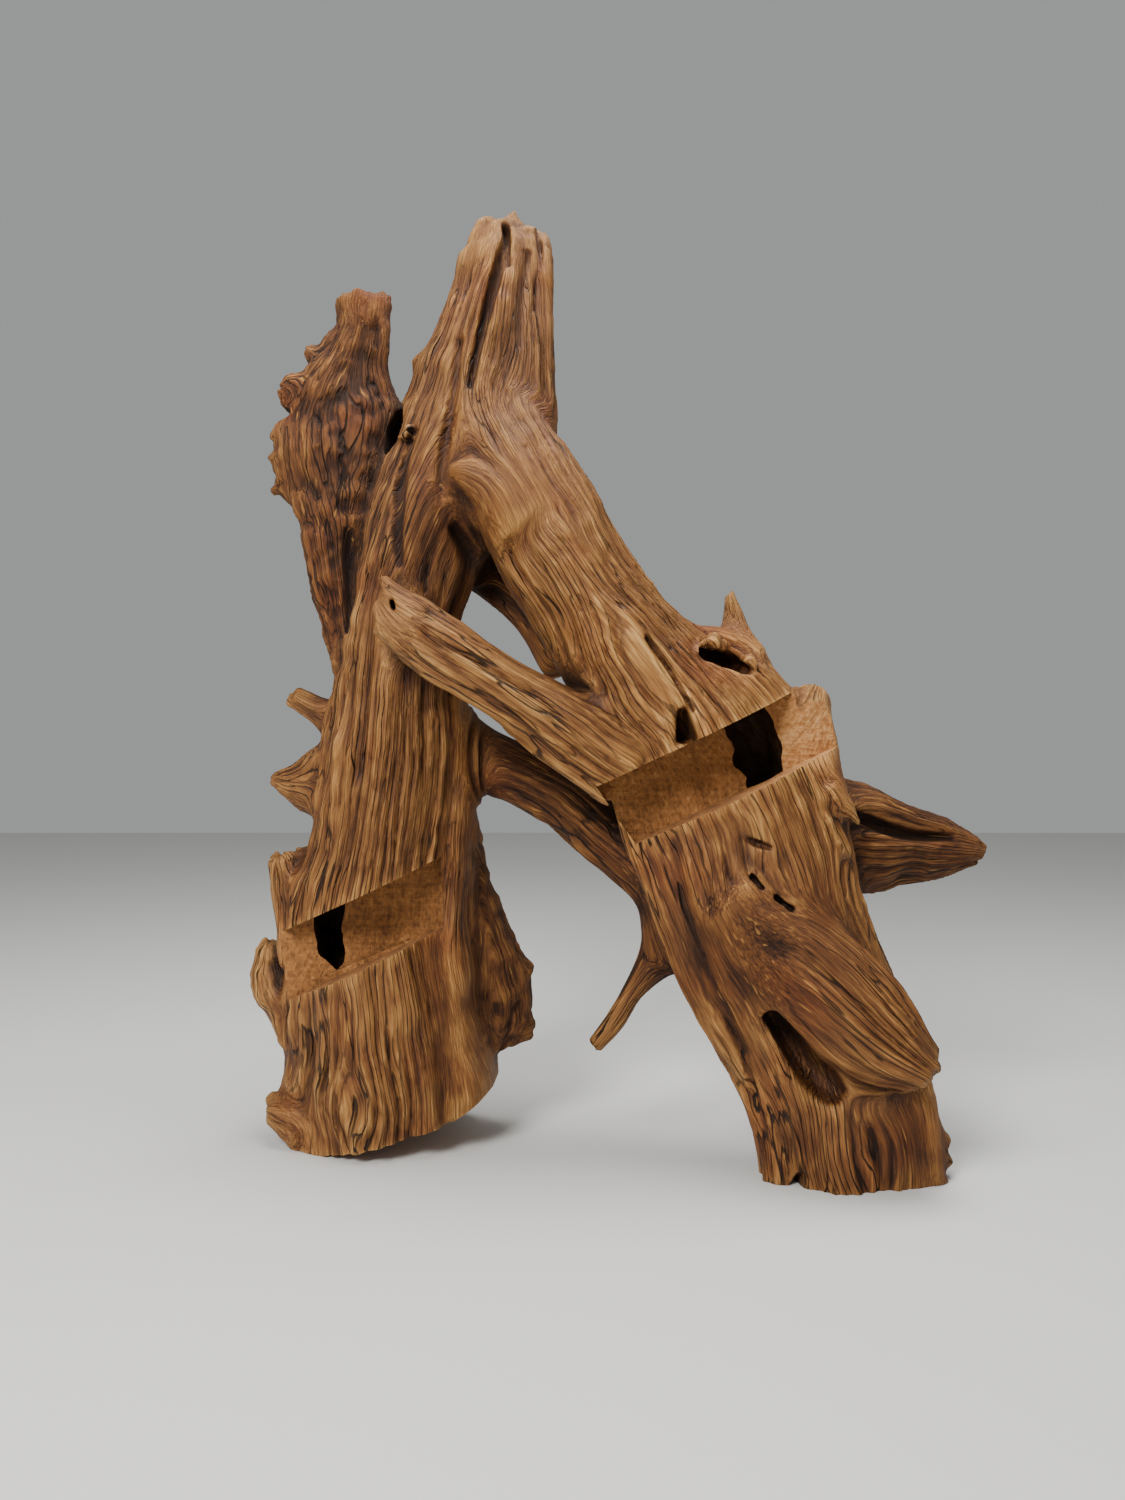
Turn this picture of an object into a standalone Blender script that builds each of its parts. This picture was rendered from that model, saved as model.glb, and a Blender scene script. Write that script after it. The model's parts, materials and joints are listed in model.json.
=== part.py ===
"""A dry tree root, stood on its two broken feet and sawn twice for a slab that is gone.

Metres, +Z up, origin on the floor under the middle of the root.
The root grew as one piece. Every limb is a row of stations along its spine, the
limbs are grown together into one skin, and a relief of flutes and burls is raised
from it by a formula. The hollows, the two sawn notches and the soles are cut last.
"""

import math
from dataclasses import dataclass

import bmesh
import bpy
import numpy as np

# The front view that the stations are drawn in: an eye level with the middle of the root.
EYE_X = -0.087
EYE_HEIGHT = 0.650
EYE_DISTANCE = 1.800

# Where the middle of the finished root lies in that view.
MIDDLE_X = 0.004
MIDDLE_Y = 0.046

SPINE_STEP = 0.012
RING_SIDES = 18
CAP = 0.45
FILLET = 0.009
HOLLOW_FILLET = 0.006
FIRST_VOXEL = 0.008
SKIN_VOXEL = 0.006
SKIN_TRIANGLES = 11000

# Flutes run along the grain, and burls swell without any direction.
FLUTE_WIDTH = 0.042
FLUTE_LENGTH = 0.420
BURL_SIZE = 0.060
EDGE_SIZE = 0.022

# The two notches lie along one slanting slab: a point on its top line, its slope and height.
SLAB_X, SLAB_Z = -0.281, 0.480
SLAB_SLOPE = math.radians(25.3)
SLAB_HEIGHT = 0.104

# Each notch: the inner end at its top and at its bottom, the outer end, the back wall.
NOTCHES = {
    "left_notch": (-0.281, -0.276, -0.750, 0.020),
    "right_notch": (-0.037, 0.023, 0.600, -0.060),
}
SAW_OVERRUN = 0.500

# The left foot is sawn off on a slant, and both feet rest on the floor.
LEFT_SOLE = [(-0.474, 0.0), (-0.262, 0.055), (-0.120, 0.150)]


@dataclass
class Limb:
    """One limb, drawn from where it grows out to its end.

    Each station is (x, z, depth behind the middle, half width, half depth), with x, z
    and the half width as the front view shows them on the plane through the middle.
    """

    name: str
    parent: str
    flute: float
    burl: float
    stations: list


LIMBS = [
    Limb("stem", "", 0.009, 0.004, [
        (-0.176, 1.462, 0.000, 0.042, 0.034),
        (-0.174, 1.436, 0.000, 0.065, 0.050),
        (-0.188, 1.338, 0.000, 0.086, 0.072),
        (-0.204, 1.242, 0.005, 0.110, 0.085),
        (-0.222, 1.146, 0.010, 0.129, 0.095),
        (-0.283, 1.034, 0.015, 0.107, 0.100),
        (-0.334, 0.890, 0.015, 0.089, 0.095),
        (-0.350, 0.762, 0.020, 0.099, 0.100),
        (-0.358, 0.634, 0.030, 0.115, 0.108),
        (-0.373, 0.506, 0.045, 0.114, 0.115),
        (-0.391, 0.378, 0.065, 0.134, 0.130),
        (-0.377, 0.250, 0.085, 0.152, 0.145),
        (-0.360, 0.122, 0.110, 0.165, 0.150),
        (-0.355, -0.010, 0.130, 0.158, 0.150),
    ]),
    Limb("bough", "stem", 0.009, 0.003, [
        (-0.203, 1.194, -0.030, 0.062, 0.060),
        (-0.168, 1.106, -0.045, 0.086, 0.078),
        (-0.121, 1.015, -0.060, 0.094, 0.080),
        (-0.042, 0.884, -0.060, 0.092, 0.085),
        (0.041, 0.769, -0.055, 0.113, 0.095),
        (0.123, 0.669, -0.050, 0.158, 0.105),
        (0.186, 0.535, -0.050, 0.174, 0.110),
        (0.224, 0.381, -0.060, 0.159, 0.110),
        (0.286, 0.247, -0.060, 0.152, 0.094),
        (0.346, 0.114, -0.062, 0.145, 0.084),
        (0.369, 0.010, -0.070, 0.141, 0.080),
        (0.372, -0.090, -0.070, 0.139, 0.080),
    ]),
    Limb("ledge", "bough", 0.003, 0.002, [
        (-0.262, 1.092, -0.086, 0.012, 0.018),
        (-0.238, 1.088, -0.092, 0.024, 0.030),
        (-0.195, 1.062, -0.092, 0.038, 0.045),
        (-0.150, 1.010, -0.090, 0.045, 0.055),
    ]),
    Limb("strut", "bough", 0.005, 0.002, [
        (0.013, 0.634, -0.085, 0.082, 0.060),
        (-0.091, 0.690, -0.105, 0.064, 0.052),
        (-0.187, 0.748, -0.120, 0.051, 0.044),
        (-0.283, 0.810, -0.130, 0.050, 0.040),
        (-0.344, 0.858, -0.130, 0.042, 0.030),
        (-0.368, 0.886, -0.125, 0.024, 0.018),
    ]),
    Limb("tie", "bough", 0.005, 0.003, [
        (0.103, 0.332, -0.010, 0.050, 0.050),
        (0.068, 0.434, 0.020, 0.045, 0.055),
        (-0.027, 0.525, 0.040, 0.050, 0.050),
        (-0.094, 0.581, 0.055, 0.047, 0.045),
        (-0.163, 0.615, 0.065, 0.047, 0.042),
        (-0.222, 0.634, 0.070, 0.059, 0.045),
        (-0.259, 0.647, 0.070, 0.068, 0.050),
    ]),
    Limb("plate", "stem", 0.004, 0.010, [
        (-0.412, 0.780, 0.030, 0.034, 0.050),
        (-0.430, 0.874, 0.035, 0.038, 0.050),
        (-0.442, 0.953, 0.040, 0.046, 0.055),
        (-0.445, 1.033, 0.045, 0.070, 0.060),
        (-0.443, 1.081, 0.050, 0.095, 0.060),
        (-0.433, 1.145, 0.055, 0.107, 0.056),
        (-0.430, 1.209, 0.060, 0.093, 0.048),
        (-0.420, 1.262, 0.060, 0.062, 0.040),
        (-0.406, 1.313, 0.060, 0.042, 0.034),
        (-0.401, 1.360, 0.060, 0.042, 0.026),
    ]),
    Limb("back_arch", "stem", 0.004, 0.003, [
        (-0.262, 0.985, 0.080, 0.045, 0.045),
        (-0.200, 0.932, 0.085, 0.040, 0.036),
        (-0.134, 0.872, 0.080, 0.038, 0.034),
        (-0.080, 0.800, 0.050, 0.046, 0.045),
    ]),
    Limb("thorn", "bough", 0.002, 0.002, [
        (0.250, 0.712, -0.010, 0.044, 0.060),
        (0.214, 0.770, 0.000, 0.036, 0.045),
        (0.194, 0.821, 0.010, 0.024, 0.024),
        (0.186, 0.866, 0.018, 0.016, 0.014),
        (0.180, 0.897, 0.020, 0.009, 0.009),
    ]),
    Limb("eyelid", "bough", 0.002, 0.002, [
        (0.075, 0.826, -0.010, 0.022, 0.030),
        (0.130, 0.832, 0.005, 0.013, 0.022),
        (0.175, 0.828, 0.005, 0.012, 0.020),
        (0.210, 0.800, 0.000, 0.020, 0.026),
    ]),
    Limb("eye_back", "bough", 0.002, 0.002, [
        (0.100, 0.795, 0.030, 0.030, 0.030),
        (0.160, 0.795, 0.042, 0.036, 0.030),
        (0.225, 0.770, 0.030, 0.030, 0.030),
    ]),
    Limb("horn", "bough", 0.008, 0.004, [
        (0.293, 0.530, 0.020, 0.088, 0.062),
        (0.389, 0.508, 0.045, 0.092, 0.060),
        (0.453, 0.503, 0.060, 0.067, 0.050),
        (0.517, 0.495, 0.072, 0.054, 0.040),
        (0.572, 0.489, 0.080, 0.027, 0.024),
    ]),
    Limb("ear", "bough", 0.003, 0.004, [
        (0.322, 0.560, -0.020, 0.046, 0.080),
        (0.306, 0.630, -0.020, 0.046, 0.076),
        (0.304, 0.700, -0.015, 0.038, 0.062),
        (0.312, 0.736, -0.005, 0.026, 0.036),
    ]),
    Limb("fin", "bough", 0.003, 0.002, [
        (0.346, 0.440, 0.000, 0.026, 0.050),
        (0.374, 0.365, 0.000, 0.028, 0.045),
        (0.408, 0.306, -0.005, 0.022, 0.040),
        (0.418, 0.250, -0.020, 0.030, 0.050),
    ]),
    Limb("lobe", "bough", 0.007, 0.002, [
        (0.200, 0.405, -0.095, 0.078, 0.070),
        (0.303, 0.297, -0.132, 0.088, 0.064),
        (0.405, 0.200, -0.149, 0.081, 0.058),
        (0.481, 0.146, -0.150, 0.046, 0.042),
    ]),
    Limb("toe", "bough", 0.004, 0.006, [
        (0.410, 0.110, -0.060, 0.080, 0.070),
        (0.452, 0.045, -0.060, 0.058, 0.060),
        (0.452, -0.010, -0.060, 0.056, 0.058),
    ]),
    Limb("spur", "tie", 0.002, 0.001, [
        (0.085, 0.345, 0.000, 0.045, 0.034),
        (0.060, 0.312, 0.000, 0.030, 0.022),
        (0.024, 0.263, 0.000, 0.017, 0.014),
        (-0.001, 0.221, 0.000, 0.016, 0.013),
        (-0.034, 0.179, 0.000, 0.014, 0.010),
    ]),
    Limb("finger", "stem", 0.004, 0.003, [
        (-0.500, 0.330, 0.060, 0.034, 0.040),
        (-0.518, 0.405, 0.055, 0.030, 0.034),
        (-0.533, 0.474, 0.050, 0.026, 0.028),
    ]),
    Limb("knuckle", "stem", 0.003, 0.006, [
        (-0.490, 0.215, 0.080, 0.040, 0.045),
        (-0.545, 0.275, 0.085, 0.036, 0.036),
        (-0.553, 0.335, 0.085, 0.020, 0.022),
    ]),
    Limb("front_toe", "stem", 0.003, 0.005, [
        (-0.450, 0.074, 0.070, 0.060, 0.060),
        (-0.505, 0.072, 0.060, 0.038, 0.045),
        (-0.548, 0.078, 0.055, 0.022, 0.025),
    ]),
    Limb("stub", "stem", 0.002, 0.003, [
        (-0.425, 0.680, 0.050, 0.036, 0.040),
        (-0.470, 0.710, 0.055, 0.023, 0.024),
        (-0.510, 0.733, 0.055, 0.019, 0.018),
    ]),
    Limb("beak", "stem", 0.002, 0.006, [
        (-0.440, 0.600, 0.045, 0.086, 0.055),
        (-0.492, 0.598, 0.055, 0.050, 0.038),
        (-0.522, 0.599, 0.055, 0.024, 0.022),
        (-0.546, 0.603, 0.055, 0.012, 0.012),
    ]),
    Limb("fold", "stem", 0.006, 0.004, [
        (-0.268, 0.735, 0.045, 0.028, 0.055),
        (-0.258, 0.610, 0.055, 0.036, 0.060),
        (-0.258, 0.474, 0.065, 0.034, 0.066),
        (-0.266, 0.350, 0.070, 0.040, 0.080),
        (-0.258, 0.230, 0.080, 0.044, 0.090),
        (-0.262, 0.110, 0.100, 0.060, 0.100),
    ]),
    Limb("skirt", "stem", 0.005, 0.009, [
        (-0.244, 0.530, 0.100, 0.018, 0.040),
        (-0.236, 0.480, 0.110, 0.024, 0.045),
        (-0.226, 0.402, 0.115, 0.044, 0.050),
        (-0.204, 0.314, 0.120, 0.057, 0.055),
        (-0.190, 0.240, 0.125, 0.058, 0.055),
        (-0.198, 0.195, 0.125, 0.036, 0.045),
    ]),
    Limb("skirt_tip", "skirt", 0.001, 0.006, [
        (-0.190, 0.235, 0.125, 0.035, 0.035),
        (-0.150, 0.212, 0.125, 0.026, 0.024),
        (-0.138, 0.206, 0.125, 0.020, 0.018),
    ]),
    Limb("heel", "stem", 0.006, 0.004, [
        (-0.350, 0.330, 0.130, 0.080, 0.070),
        (-0.335, 0.190, 0.200, 0.075, 0.065),
        (-0.320, 0.060, 0.245, 0.070, 0.060),
        (-0.318, -0.080, 0.260, 0.070, 0.060),
    ]),
]

SLIVERS = [
    Limb("crown_left", "stem", 0.001, 0.001, [
        (-0.216, 1.415, -0.008, 0.024, 0.026),
        (-0.214, 1.460, -0.006, 0.019, 0.020),
        (-0.210, 1.486, -0.006, 0.009, 0.010),
    ]),
    Limb("crown_middle", "stem", 0.001, 0.001, [
        (-0.172, 1.430, 0.004, 0.026, 0.028),
        (-0.169, 1.480, 0.004, 0.019, 0.020),
        (-0.166, 1.502, 0.004, 0.008, 0.009),
    ]),
    Limb("crown_right", "stem", 0.001, 0.001, [
        (-0.124, 1.395, 0.000, 0.019, 0.024),
        (-0.120, 1.448, 0.000, 0.015, 0.017),
        (-0.118, 1.468, 0.000, 0.010, 0.011),
    ]),
    Limb("jag", "stem", 0.001, 0.001, [
        (-0.298, 1.200, 0.020, 0.020, 0.024),
        (-0.318, 1.272, 0.020, 0.010, 0.012),
    ]),
    Limb("knob", "plate", 0.001, 0.003, [
        (-0.470, 1.220, 0.055, 0.030, 0.030),
        (-0.522, 1.226, 0.055, 0.022, 0.024),
    ]),
    Limb("prick", "stem", 0.001, 0.001, [
        (-0.486, 0.440, 0.050, 0.018, 0.020),
        (-0.500, 0.488, 0.050, 0.008, 0.009),
    ]),
]

# Hollows are drawn as limbs are, and taken away.
HOLLOWS = [
    Limb("foot_hollow", "", 0.0, 0.0, [
        (0.240, 0.232, -0.165, 0.013, 0.030),
        (0.278, 0.190, -0.160, 0.024, 0.050),
        (0.320, 0.132, -0.145, 0.036, 0.052),
        (0.342, 0.096, -0.140, 0.022, 0.035),
    ]),
    Limb("horn_groove", "", 0.0, 0.0, [
        (0.372, 0.550, -0.030, 0.008, 0.022),
        (0.420, 0.530, -0.012, 0.011, 0.028),
        (0.475, 0.514, 0.010, 0.010, 0.026),
        (0.540, 0.510, 0.035, 0.006, 0.016),
    ]),
    Limb("eye", "", 0.0, 0.0, [
        (0.128, 0.822, -0.125, 0.008, 0.030),
        (0.150, 0.812, -0.105, 0.014, 0.050),
        (0.174, 0.801, -0.080, 0.016, 0.055),
        (0.198, 0.788, -0.065, 0.011, 0.035),
    ]),
    Limb("flank_groove", "", 0.0, 0.0, [
        (-0.432, 1.000, -0.005, 0.010, 0.030),
        (-0.430, 0.965, 0.000, 0.023, 0.045),
        (-0.424, 0.920, 0.000, 0.021, 0.045),
        (-0.428, 0.850, -0.010, 0.014, 0.035),
        (-0.436, 0.790, -0.010, 0.008, 0.020),
    ]),
    Limb("crown_pocket", "", 0.0, 0.0, [
        (-0.346, 1.192, 0.015, 0.010, 0.035),
        (-0.350, 1.155, 0.020, 0.019, 0.045),
        (-0.356, 1.120, 0.025, 0.009, 0.030),
    ]),
    Limb("edge_pit", "", 0.0, 0.0, [
        (0.104, 0.714, -0.150, 0.007, 0.025),
        (0.108, 0.692, -0.150, 0.013, 0.040),
        (0.112, 0.668, -0.150, 0.017, 0.050),
    ]),
    Limb("arch_pocket", "", 0.0, 0.0, [
        (-0.240, 0.985, -0.080, 0.012, 0.040),
        (-0.222, 0.950, -0.070, 0.020, 0.050),
    ]),
]


# The grown hollows that the two notches open.
RIFTS = [
    Limb("left_rift", "", 0.0, 0.0, [
        (-0.438, 0.296, 0.055, 0.012, 0.030),
        (-0.445, 0.330, 0.055, 0.026, 0.055),
        (-0.452, 0.390, 0.055, 0.028, 0.060),
        (-0.452, 0.450, 0.055, 0.020, 0.045),
        (-0.448, 0.500, 0.055, 0.008, 0.020),
    ]),
    Limb("right_rift", "", 0.0, 0.0, [
        (0.185, 0.760, -0.030, 0.010, 0.020),
        (0.200, 0.720, -0.030, 0.032, 0.045),
        (0.216, 0.650, -0.030, 0.038, 0.055),
        (0.234, 0.580, -0.030, 0.032, 0.050),
        (0.246, 0.530, -0.030, 0.012, 0.025),
    ]),
]


def as_array(rows):
    """The rows of a station table as numbers."""
    return np.array(rows, float)


def smooth_path(points):
    """A Catmull-Rom curve through the points, sampled about every SPINE_STEP."""
    padded = np.vstack([2 * points[0] - points[1], points, 2 * points[-1] - points[-2]])
    pieces = []
    for before, start, end, after in zip(padded, padded[1:], padded[2:], padded[3:]):
        count = max(2, round(float(np.linalg.norm((end - start)[:3])) / SPINE_STEP))
        t = (np.arange(count) / count)[:, None]
        pieces.append(0.5 * (
            2 * start
            + (end - before) * t
            + (2 * before - 5 * start + 4 * end - after) * t ** 2
            + (3 * start - before - 3 * end + after) * t ** 3
        ))
    return np.vstack(pieces + [points[-1:]])


def unit(vectors):
    """Vectors brought to length 1."""
    return vectors / np.linalg.norm(vectors, axis=-1, keepdims=True)


class Spine:
    """A limb's centre line with its frame, radii and length, ready to measure from."""

    def __init__(self, limb):
        rows = as_array(limb.stations)
        eye = np.array([EYE_X, -EYE_DISTANCE, EYE_HEIGHT])
        seen = np.column_stack([rows[:, 0], np.zeros(len(rows)), rows[:, 1]])
        nearness = (EYE_DISTANCE + rows[:, 2:3]) / EYE_DISTANCE
        placed = eye + (seen - eye) * nearness - [MIDDLE_X, MIDDLE_Y, 0.0]
        path = smooth_path(np.hstack([placed, rows[:, 3:4] * nearness, rows[:, 4:5]]))
        self.limb = limb
        self.centre = path[:, :3]
        self.half_width = np.maximum(path[:, 3], 0.004)
        self.half_depth = np.maximum(path[:, 4], 0.004)
        self.along = unit(np.gradient(self.centre, axis=0))
        back = np.array([0.0, 1.0, 0.0])
        self.depth = unit(back - self.along * (self.along @ back)[:, None])
        self.side = np.cross(self.along, self.depth)
        steps = np.linalg.norm(np.diff(self.centre, axis=0), axis=1)
        self.length = np.concatenate([[0.0], np.cumsum(steps)])
        self.offset = np.zeros(3)
        self.sign = 1.0

    def measure(self, points):
        """Distance from the limb's skin, and the place along the grain, for each point."""
        gaps = (
            (points ** 2).sum(1)[:, None]
            - 2 * points @ self.centre.T
            + (self.centre ** 2).sum(1)[None]
        )
        k = np.clip(gaps.argmin(1), 0, len(self.centre) - 1)
        run = ((points - self.centre[k]) * self.along[k]).sum(1)
        neighbour = np.clip(k + np.where(run > 0, 1, -1), 0, len(self.centre) - 1)
        span = np.abs(self.length[neighbour] - self.length[k])
        share = np.where(span > 0, np.minimum(np.abs(run) / np.maximum(span, 1e-9), 1.0), 0.0)

        def between(values):
            mix = share.reshape((-1,) + (1,) * (values.ndim - 1))
            return values[k] * (1 - mix) + values[neighbour] * mix

        away = points - between(self.centre)
        a = (away * between(self.side)).sum(1)
        b = (away * between(self.depth)).sum(1)
        past = (away * between(self.along)).sum(1)
        half_width, half_depth = between(self.half_width), between(self.half_depth)
        cap = CAP * np.minimum(half_width, half_depth)
        share_out = np.sqrt((a / half_width) ** 2 + (b / half_depth) ** 2 + (past / cap) ** 2)
        share_out = np.maximum(share_out, 1e-4)
        distance = np.sqrt(a ** 2 + b ** 2 + past ** 2) * (1 - 1 / share_out)
        grain = np.column_stack([a, b, between(self.length) + past]) * [self.sign, 1.0, self.sign]
        return distance, grain + self.offset


def grown(limbs):
    """Spines for the limbs, each with its grain carried on from the limb it grows from."""
    spines = {}
    for limb in limbs:
        spine = Spine(limb)
        if limb.parent:
            parent = spines[limb.parent]
            start = spine.centre[:1]
            _, here = parent.measure(start)
            near = ((parent.centre - start) ** 2).sum(1).argmin()
            if parent.sign * float(parent.along[near] @ spine.along[0]) < 0:
                spine.sign = -1.0
            spine.offset = here[0]
        spines[limb.name] = spine
    return list(spines.values())


def lattice_noise(points, seed):
    """Smooth noise from -1 to 1, from a hashed value at each corner of a unit lattice."""
    cell = np.floor(points).astype(np.int64)
    f = points - cell
    f = f * f * (3 - 2 * f)
    total = np.zeros(len(points))
    for corner in range(8):
        step = np.array([corner & 1, (corner >> 1) & 1, (corner >> 2) & 1])
        q = cell + step
        h = (q[:, 0] * 374761393 + q[:, 1] * 668265263 + q[:, 2] * 2147483647 + seed * 974711)
        h = (h ^ (h >> 13)) * 1274126177
        value = ((h ^ (h >> 16)) & 0xFFFF) / 32767.5 - 1
        weight = np.where(step, f, 1 - f).prod(1)
        total += value * weight
    return total


class Root:
    """The whole skin: how far a point lies outside it, and the grain there."""

    def __init__(self):
        self.spines = grown(LIMBS + SLIVERS)
        self.hollows = grown(HOLLOWS)
        self.rifts = grown(RIFTS)

    def measure(self, points):
        """Distance outside the skin, the grain coordinates, and the local relief strengths."""
        total = np.zeros(len(points))
        grain = np.zeros((len(points), 3))
        strength = np.zeros((len(points), 2))
        for spine in self.spines:
            reach = max(spine.half_width.max(), spine.half_depth.max()) + 0.10
            inside = np.all(
                (points > spine.centre.min(0) - reach) & (points < spine.centre.max(0) + reach),
                axis=1,
            )
            if not inside.any():
                continue
            distance, here = spine.measure(points[inside])
            weight = np.exp(-np.clip(distance, -0.15, 0.15) / FILLET)
            total[inside] += weight
            grain[inside] += weight[:, None] * here
            strength[inside] += weight[:, None] * [spine.limb.flute, spine.limb.burl]
        total = np.maximum(total, 1e-12)
        return -FILLET * np.log(total), grain / total[:, None], strength / total[:, None]

    def relief(self, points, grain, strength):
        """How far the weathered wood stands out from the plain limbs."""
        stretched = grain / [FLUTE_WIDTH, FLUTE_WIDTH, FLUTE_LENGTH]
        flutes = lattice_noise(stretched, 1) + 0.5 * lattice_noise(stretched * 2.1, 2)
        burls = lattice_noise(points / BURL_SIZE, 3) + 0.5 * lattice_noise(points / EDGE_SIZE, 4)
        return strength[:, 0] * flutes + strength[:, 1] * burls

    def outside(self, points):
        """Distance outside the finished skin, hollows and relief included."""
        distance, grain, strength = self.measure(points)
        distance = distance - self.relief(points, grain, strength)
        for hollow in self.hollows:
            reach = max(hollow.half_width.max(), hollow.half_depth.max()) + 0.06
            near = np.all(
                (points > hollow.centre.min(0) - reach) & (points < hollow.centre.max(0) + reach),
                axis=1,
            )
            if not near.any():
                continue
            cut, _ = hollow.measure(points[near])
            pair = np.stack([distance[near], -cut]) / HOLLOW_FILLET
            distance[near] = HOLLOW_FILLET * np.logaddexp(pair[0], pair[1])
        return distance


def loft(spines):
    """A mesh of every spine's rings, skinned and capped, one closed shell for each limb."""
    points, faces = [], []
    angles = 2 * math.pi * np.arange(RING_SIDES) / RING_SIDES
    for spine in spines:
        first = len(points)
        for k in range(len(spine.centre)):
            ring = (
                spine.centre[k]
                + np.outer(np.cos(angles) * spine.half_width[k], spine.side[k])
                + np.outer(np.sin(angles) * spine.half_depth[k], spine.depth[k])
            )
            points.extend(ring)
        for k in range(len(spine.centre) - 1):
            low = first + k * RING_SIDES
            for i in range(RING_SIDES):
                j = (i + 1) % RING_SIDES
                faces.append((low + i, low + j, low + RING_SIDES + j, low + RING_SIDES + i))
        faces.append(tuple(range(first + RING_SIDES - 1, first - 1, -1)))
        last = len(points) - RING_SIDES
        faces.append(tuple(range(last, last + RING_SIDES)))
    mesh = bpy.data.meshes.new("shells")
    mesh.from_pydata([tuple(p) for p in points], [], faces)
    return mesh


def add_object(name, mesh):
    """An object for the mesh, in the scene."""
    obj = bpy.data.objects.new(name, mesh)
    bpy.context.scene.collection.objects.link(obj)
    return obj


def apply_modifiers(obj):
    """Bakes the object's modifiers into its mesh."""
    graph = bpy.context.evaluated_depsgraph_get()
    baked = bpy.data.meshes.new_from_object(obj.evaluated_get(graph))
    obj.modifiers.clear()
    obj.data = baked


def remesh(obj, voxel):
    """Skins the object afresh with even faces."""
    modifier = obj.modifiers.new("skin", "REMESH")
    modifier.mode = "VOXEL"
    modifier.voxel_size = voxel
    apply_modifiers(obj)


def settle_on(obj, root, rounds):
    """Moves the skin's points along their normals until they lie on the root's surface."""
    mesh = obj.data
    count = len(mesh.vertices)
    for _ in range(rounds):
        points, normals = np.empty(count * 3), np.empty(count * 3)
        mesh.vertices.foreach_get("co", points)
        mesh.vertices.foreach_get("normal", normals)
        points, normals = points.reshape(-1, 3), normals.reshape(-1, 3)
        move = np.clip(root.outside(points), -0.012, 0.012)
        points -= normals * (0.8 * move)[:, None]
        mesh.vertices.foreach_set("co", points.ravel())
        mesh.update()


def as_cutter(obj):
    """Marks an object that only cuts."""
    obj.hide_render = True
    obj.display_type = "WIRE"
    return obj


def prism(name, outline, front, back):
    """A cutter with the outline, given as (x, z) corners, from front to back."""
    bm = bmesh.new()
    face = bm.faces.new([bm.verts.new((x, front, z)) for x, z in outline])
    pushed = bmesh.ops.extrude_face_region(bm, geom=[face])["geom"]
    moved = [v for v in pushed if isinstance(v, bmesh.types.BMVert)]
    bmesh.ops.translate(bm, verts=moved, vec=(0.0, back - front, 0.0))
    bmesh.ops.recalc_face_normals(bm, faces=bm.faces)
    mesh = bpy.data.meshes.new(name)
    bm.to_mesh(mesh)
    bm.free()
    return as_cutter(add_object(name, mesh))


def notch(name):
    """The cutter for one sawn notch, along the slab."""
    top_end, bottom_end, outer_end, wall = NOTCHES[name]
    rise = math.tan(SLAB_SLOPE)
    drop = SLAB_HEIGHT / math.cos(SLAB_SLOPE)

    def top(x):
        return SLAB_Z + (x - SLAB_X) * rise

    outline = [
        (top_end, top(top_end)),
        (outer_end, top(outer_end)),
        (outer_end, top(outer_end) - drop),
        (bottom_end, top(bottom_end) - drop),
    ]
    outline = [(x - MIDDLE_X, z) for x, z in outline]
    return prism(name, outline, -SAW_OVERRUN, wall - MIDDLE_Y)


def left_sole():
    """The cutter that saws the left foot off on a slant."""
    slant = [(x - MIDDLE_X, z) for x, z in LEFT_SOLE]
    below = [(slant[-1][0], -0.300), (slant[0][0], -0.300)]
    return prism("left_sole", slant + below, -SAW_OVERRUN, SAW_OVERRUN)


def floor_cut():
    """The cutter that levels both feet."""
    outline = [(-1.0, 0.0), (-1.0, -0.600), (1.0, -0.600), (1.0, 0.0)]
    return prism("floor", outline, -1.0, 1.0)


def cut(obj, cutter):
    """Takes the cutter's space out of the object."""
    modifier = obj.modifiers.new("cut_" + cutter.name, "BOOLEAN")
    modifier.operation = "DIFFERENCE"
    modifier.object = cutter


def wood():
    """Oiled, weathered root wood."""
    material = bpy.data.materials.new("oiled_root_wood")
    material.use_nodes = True
    shader = material.node_tree.nodes["Principled BSDF"]
    shader.inputs["Base Color"].default_value = (0.23, 0.11, 0.045, 1.0)
    shader.inputs["Roughness"].default_value = 0.55
    shader.inputs["Metallic"].default_value = 0.0
    return material


def shells(name, spines, voxel):
    """A cutter with the limbs' shape."""
    obj = as_cutter(add_object(name, loft(spines)))
    remesh(obj, voxel)
    return obj


def fewer_faces(obj, triangles):
    """Brings the object down to about that many triangles."""
    thin = obj.modifiers.new("fewer_faces", "DECIMATE")
    thin.ratio = min(1.0, triangles / (2 * len(obj.data.polygons)))
    thin.use_collapse_triangulate = True
    apply_modifiers(obj)


def main():
    """Grows the root and cuts it."""
    for obj in list(bpy.data.objects):
        bpy.data.objects.remove(obj)
    root = Root()
    body = add_object("root", loft(root.spines))
    remesh(body, FIRST_VOXEL)
    hollows = shells("hollows", root.hollows, 0.004)
    cut(body, hollows)
    apply_modifiers(body)
    bpy.data.objects.remove(hollows)
    remesh(body, SKIN_VOXEL)
    settle_on(body, root, 4)
    remesh(body, SKIN_VOXEL)
    fewer_faces(body, SKIN_TRIANGLES)
    rifts = shells("rifts", root.rifts, 0.006)
    fewer_faces(rifts, 500)
    for cutter in (floor_cut(), left_sole(), notch("left_notch"), notch("right_notch"), rifts):
        cut(body, cutter)
    body.data.materials.clear()
    body.data.materials.append(wood())


main()
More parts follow.
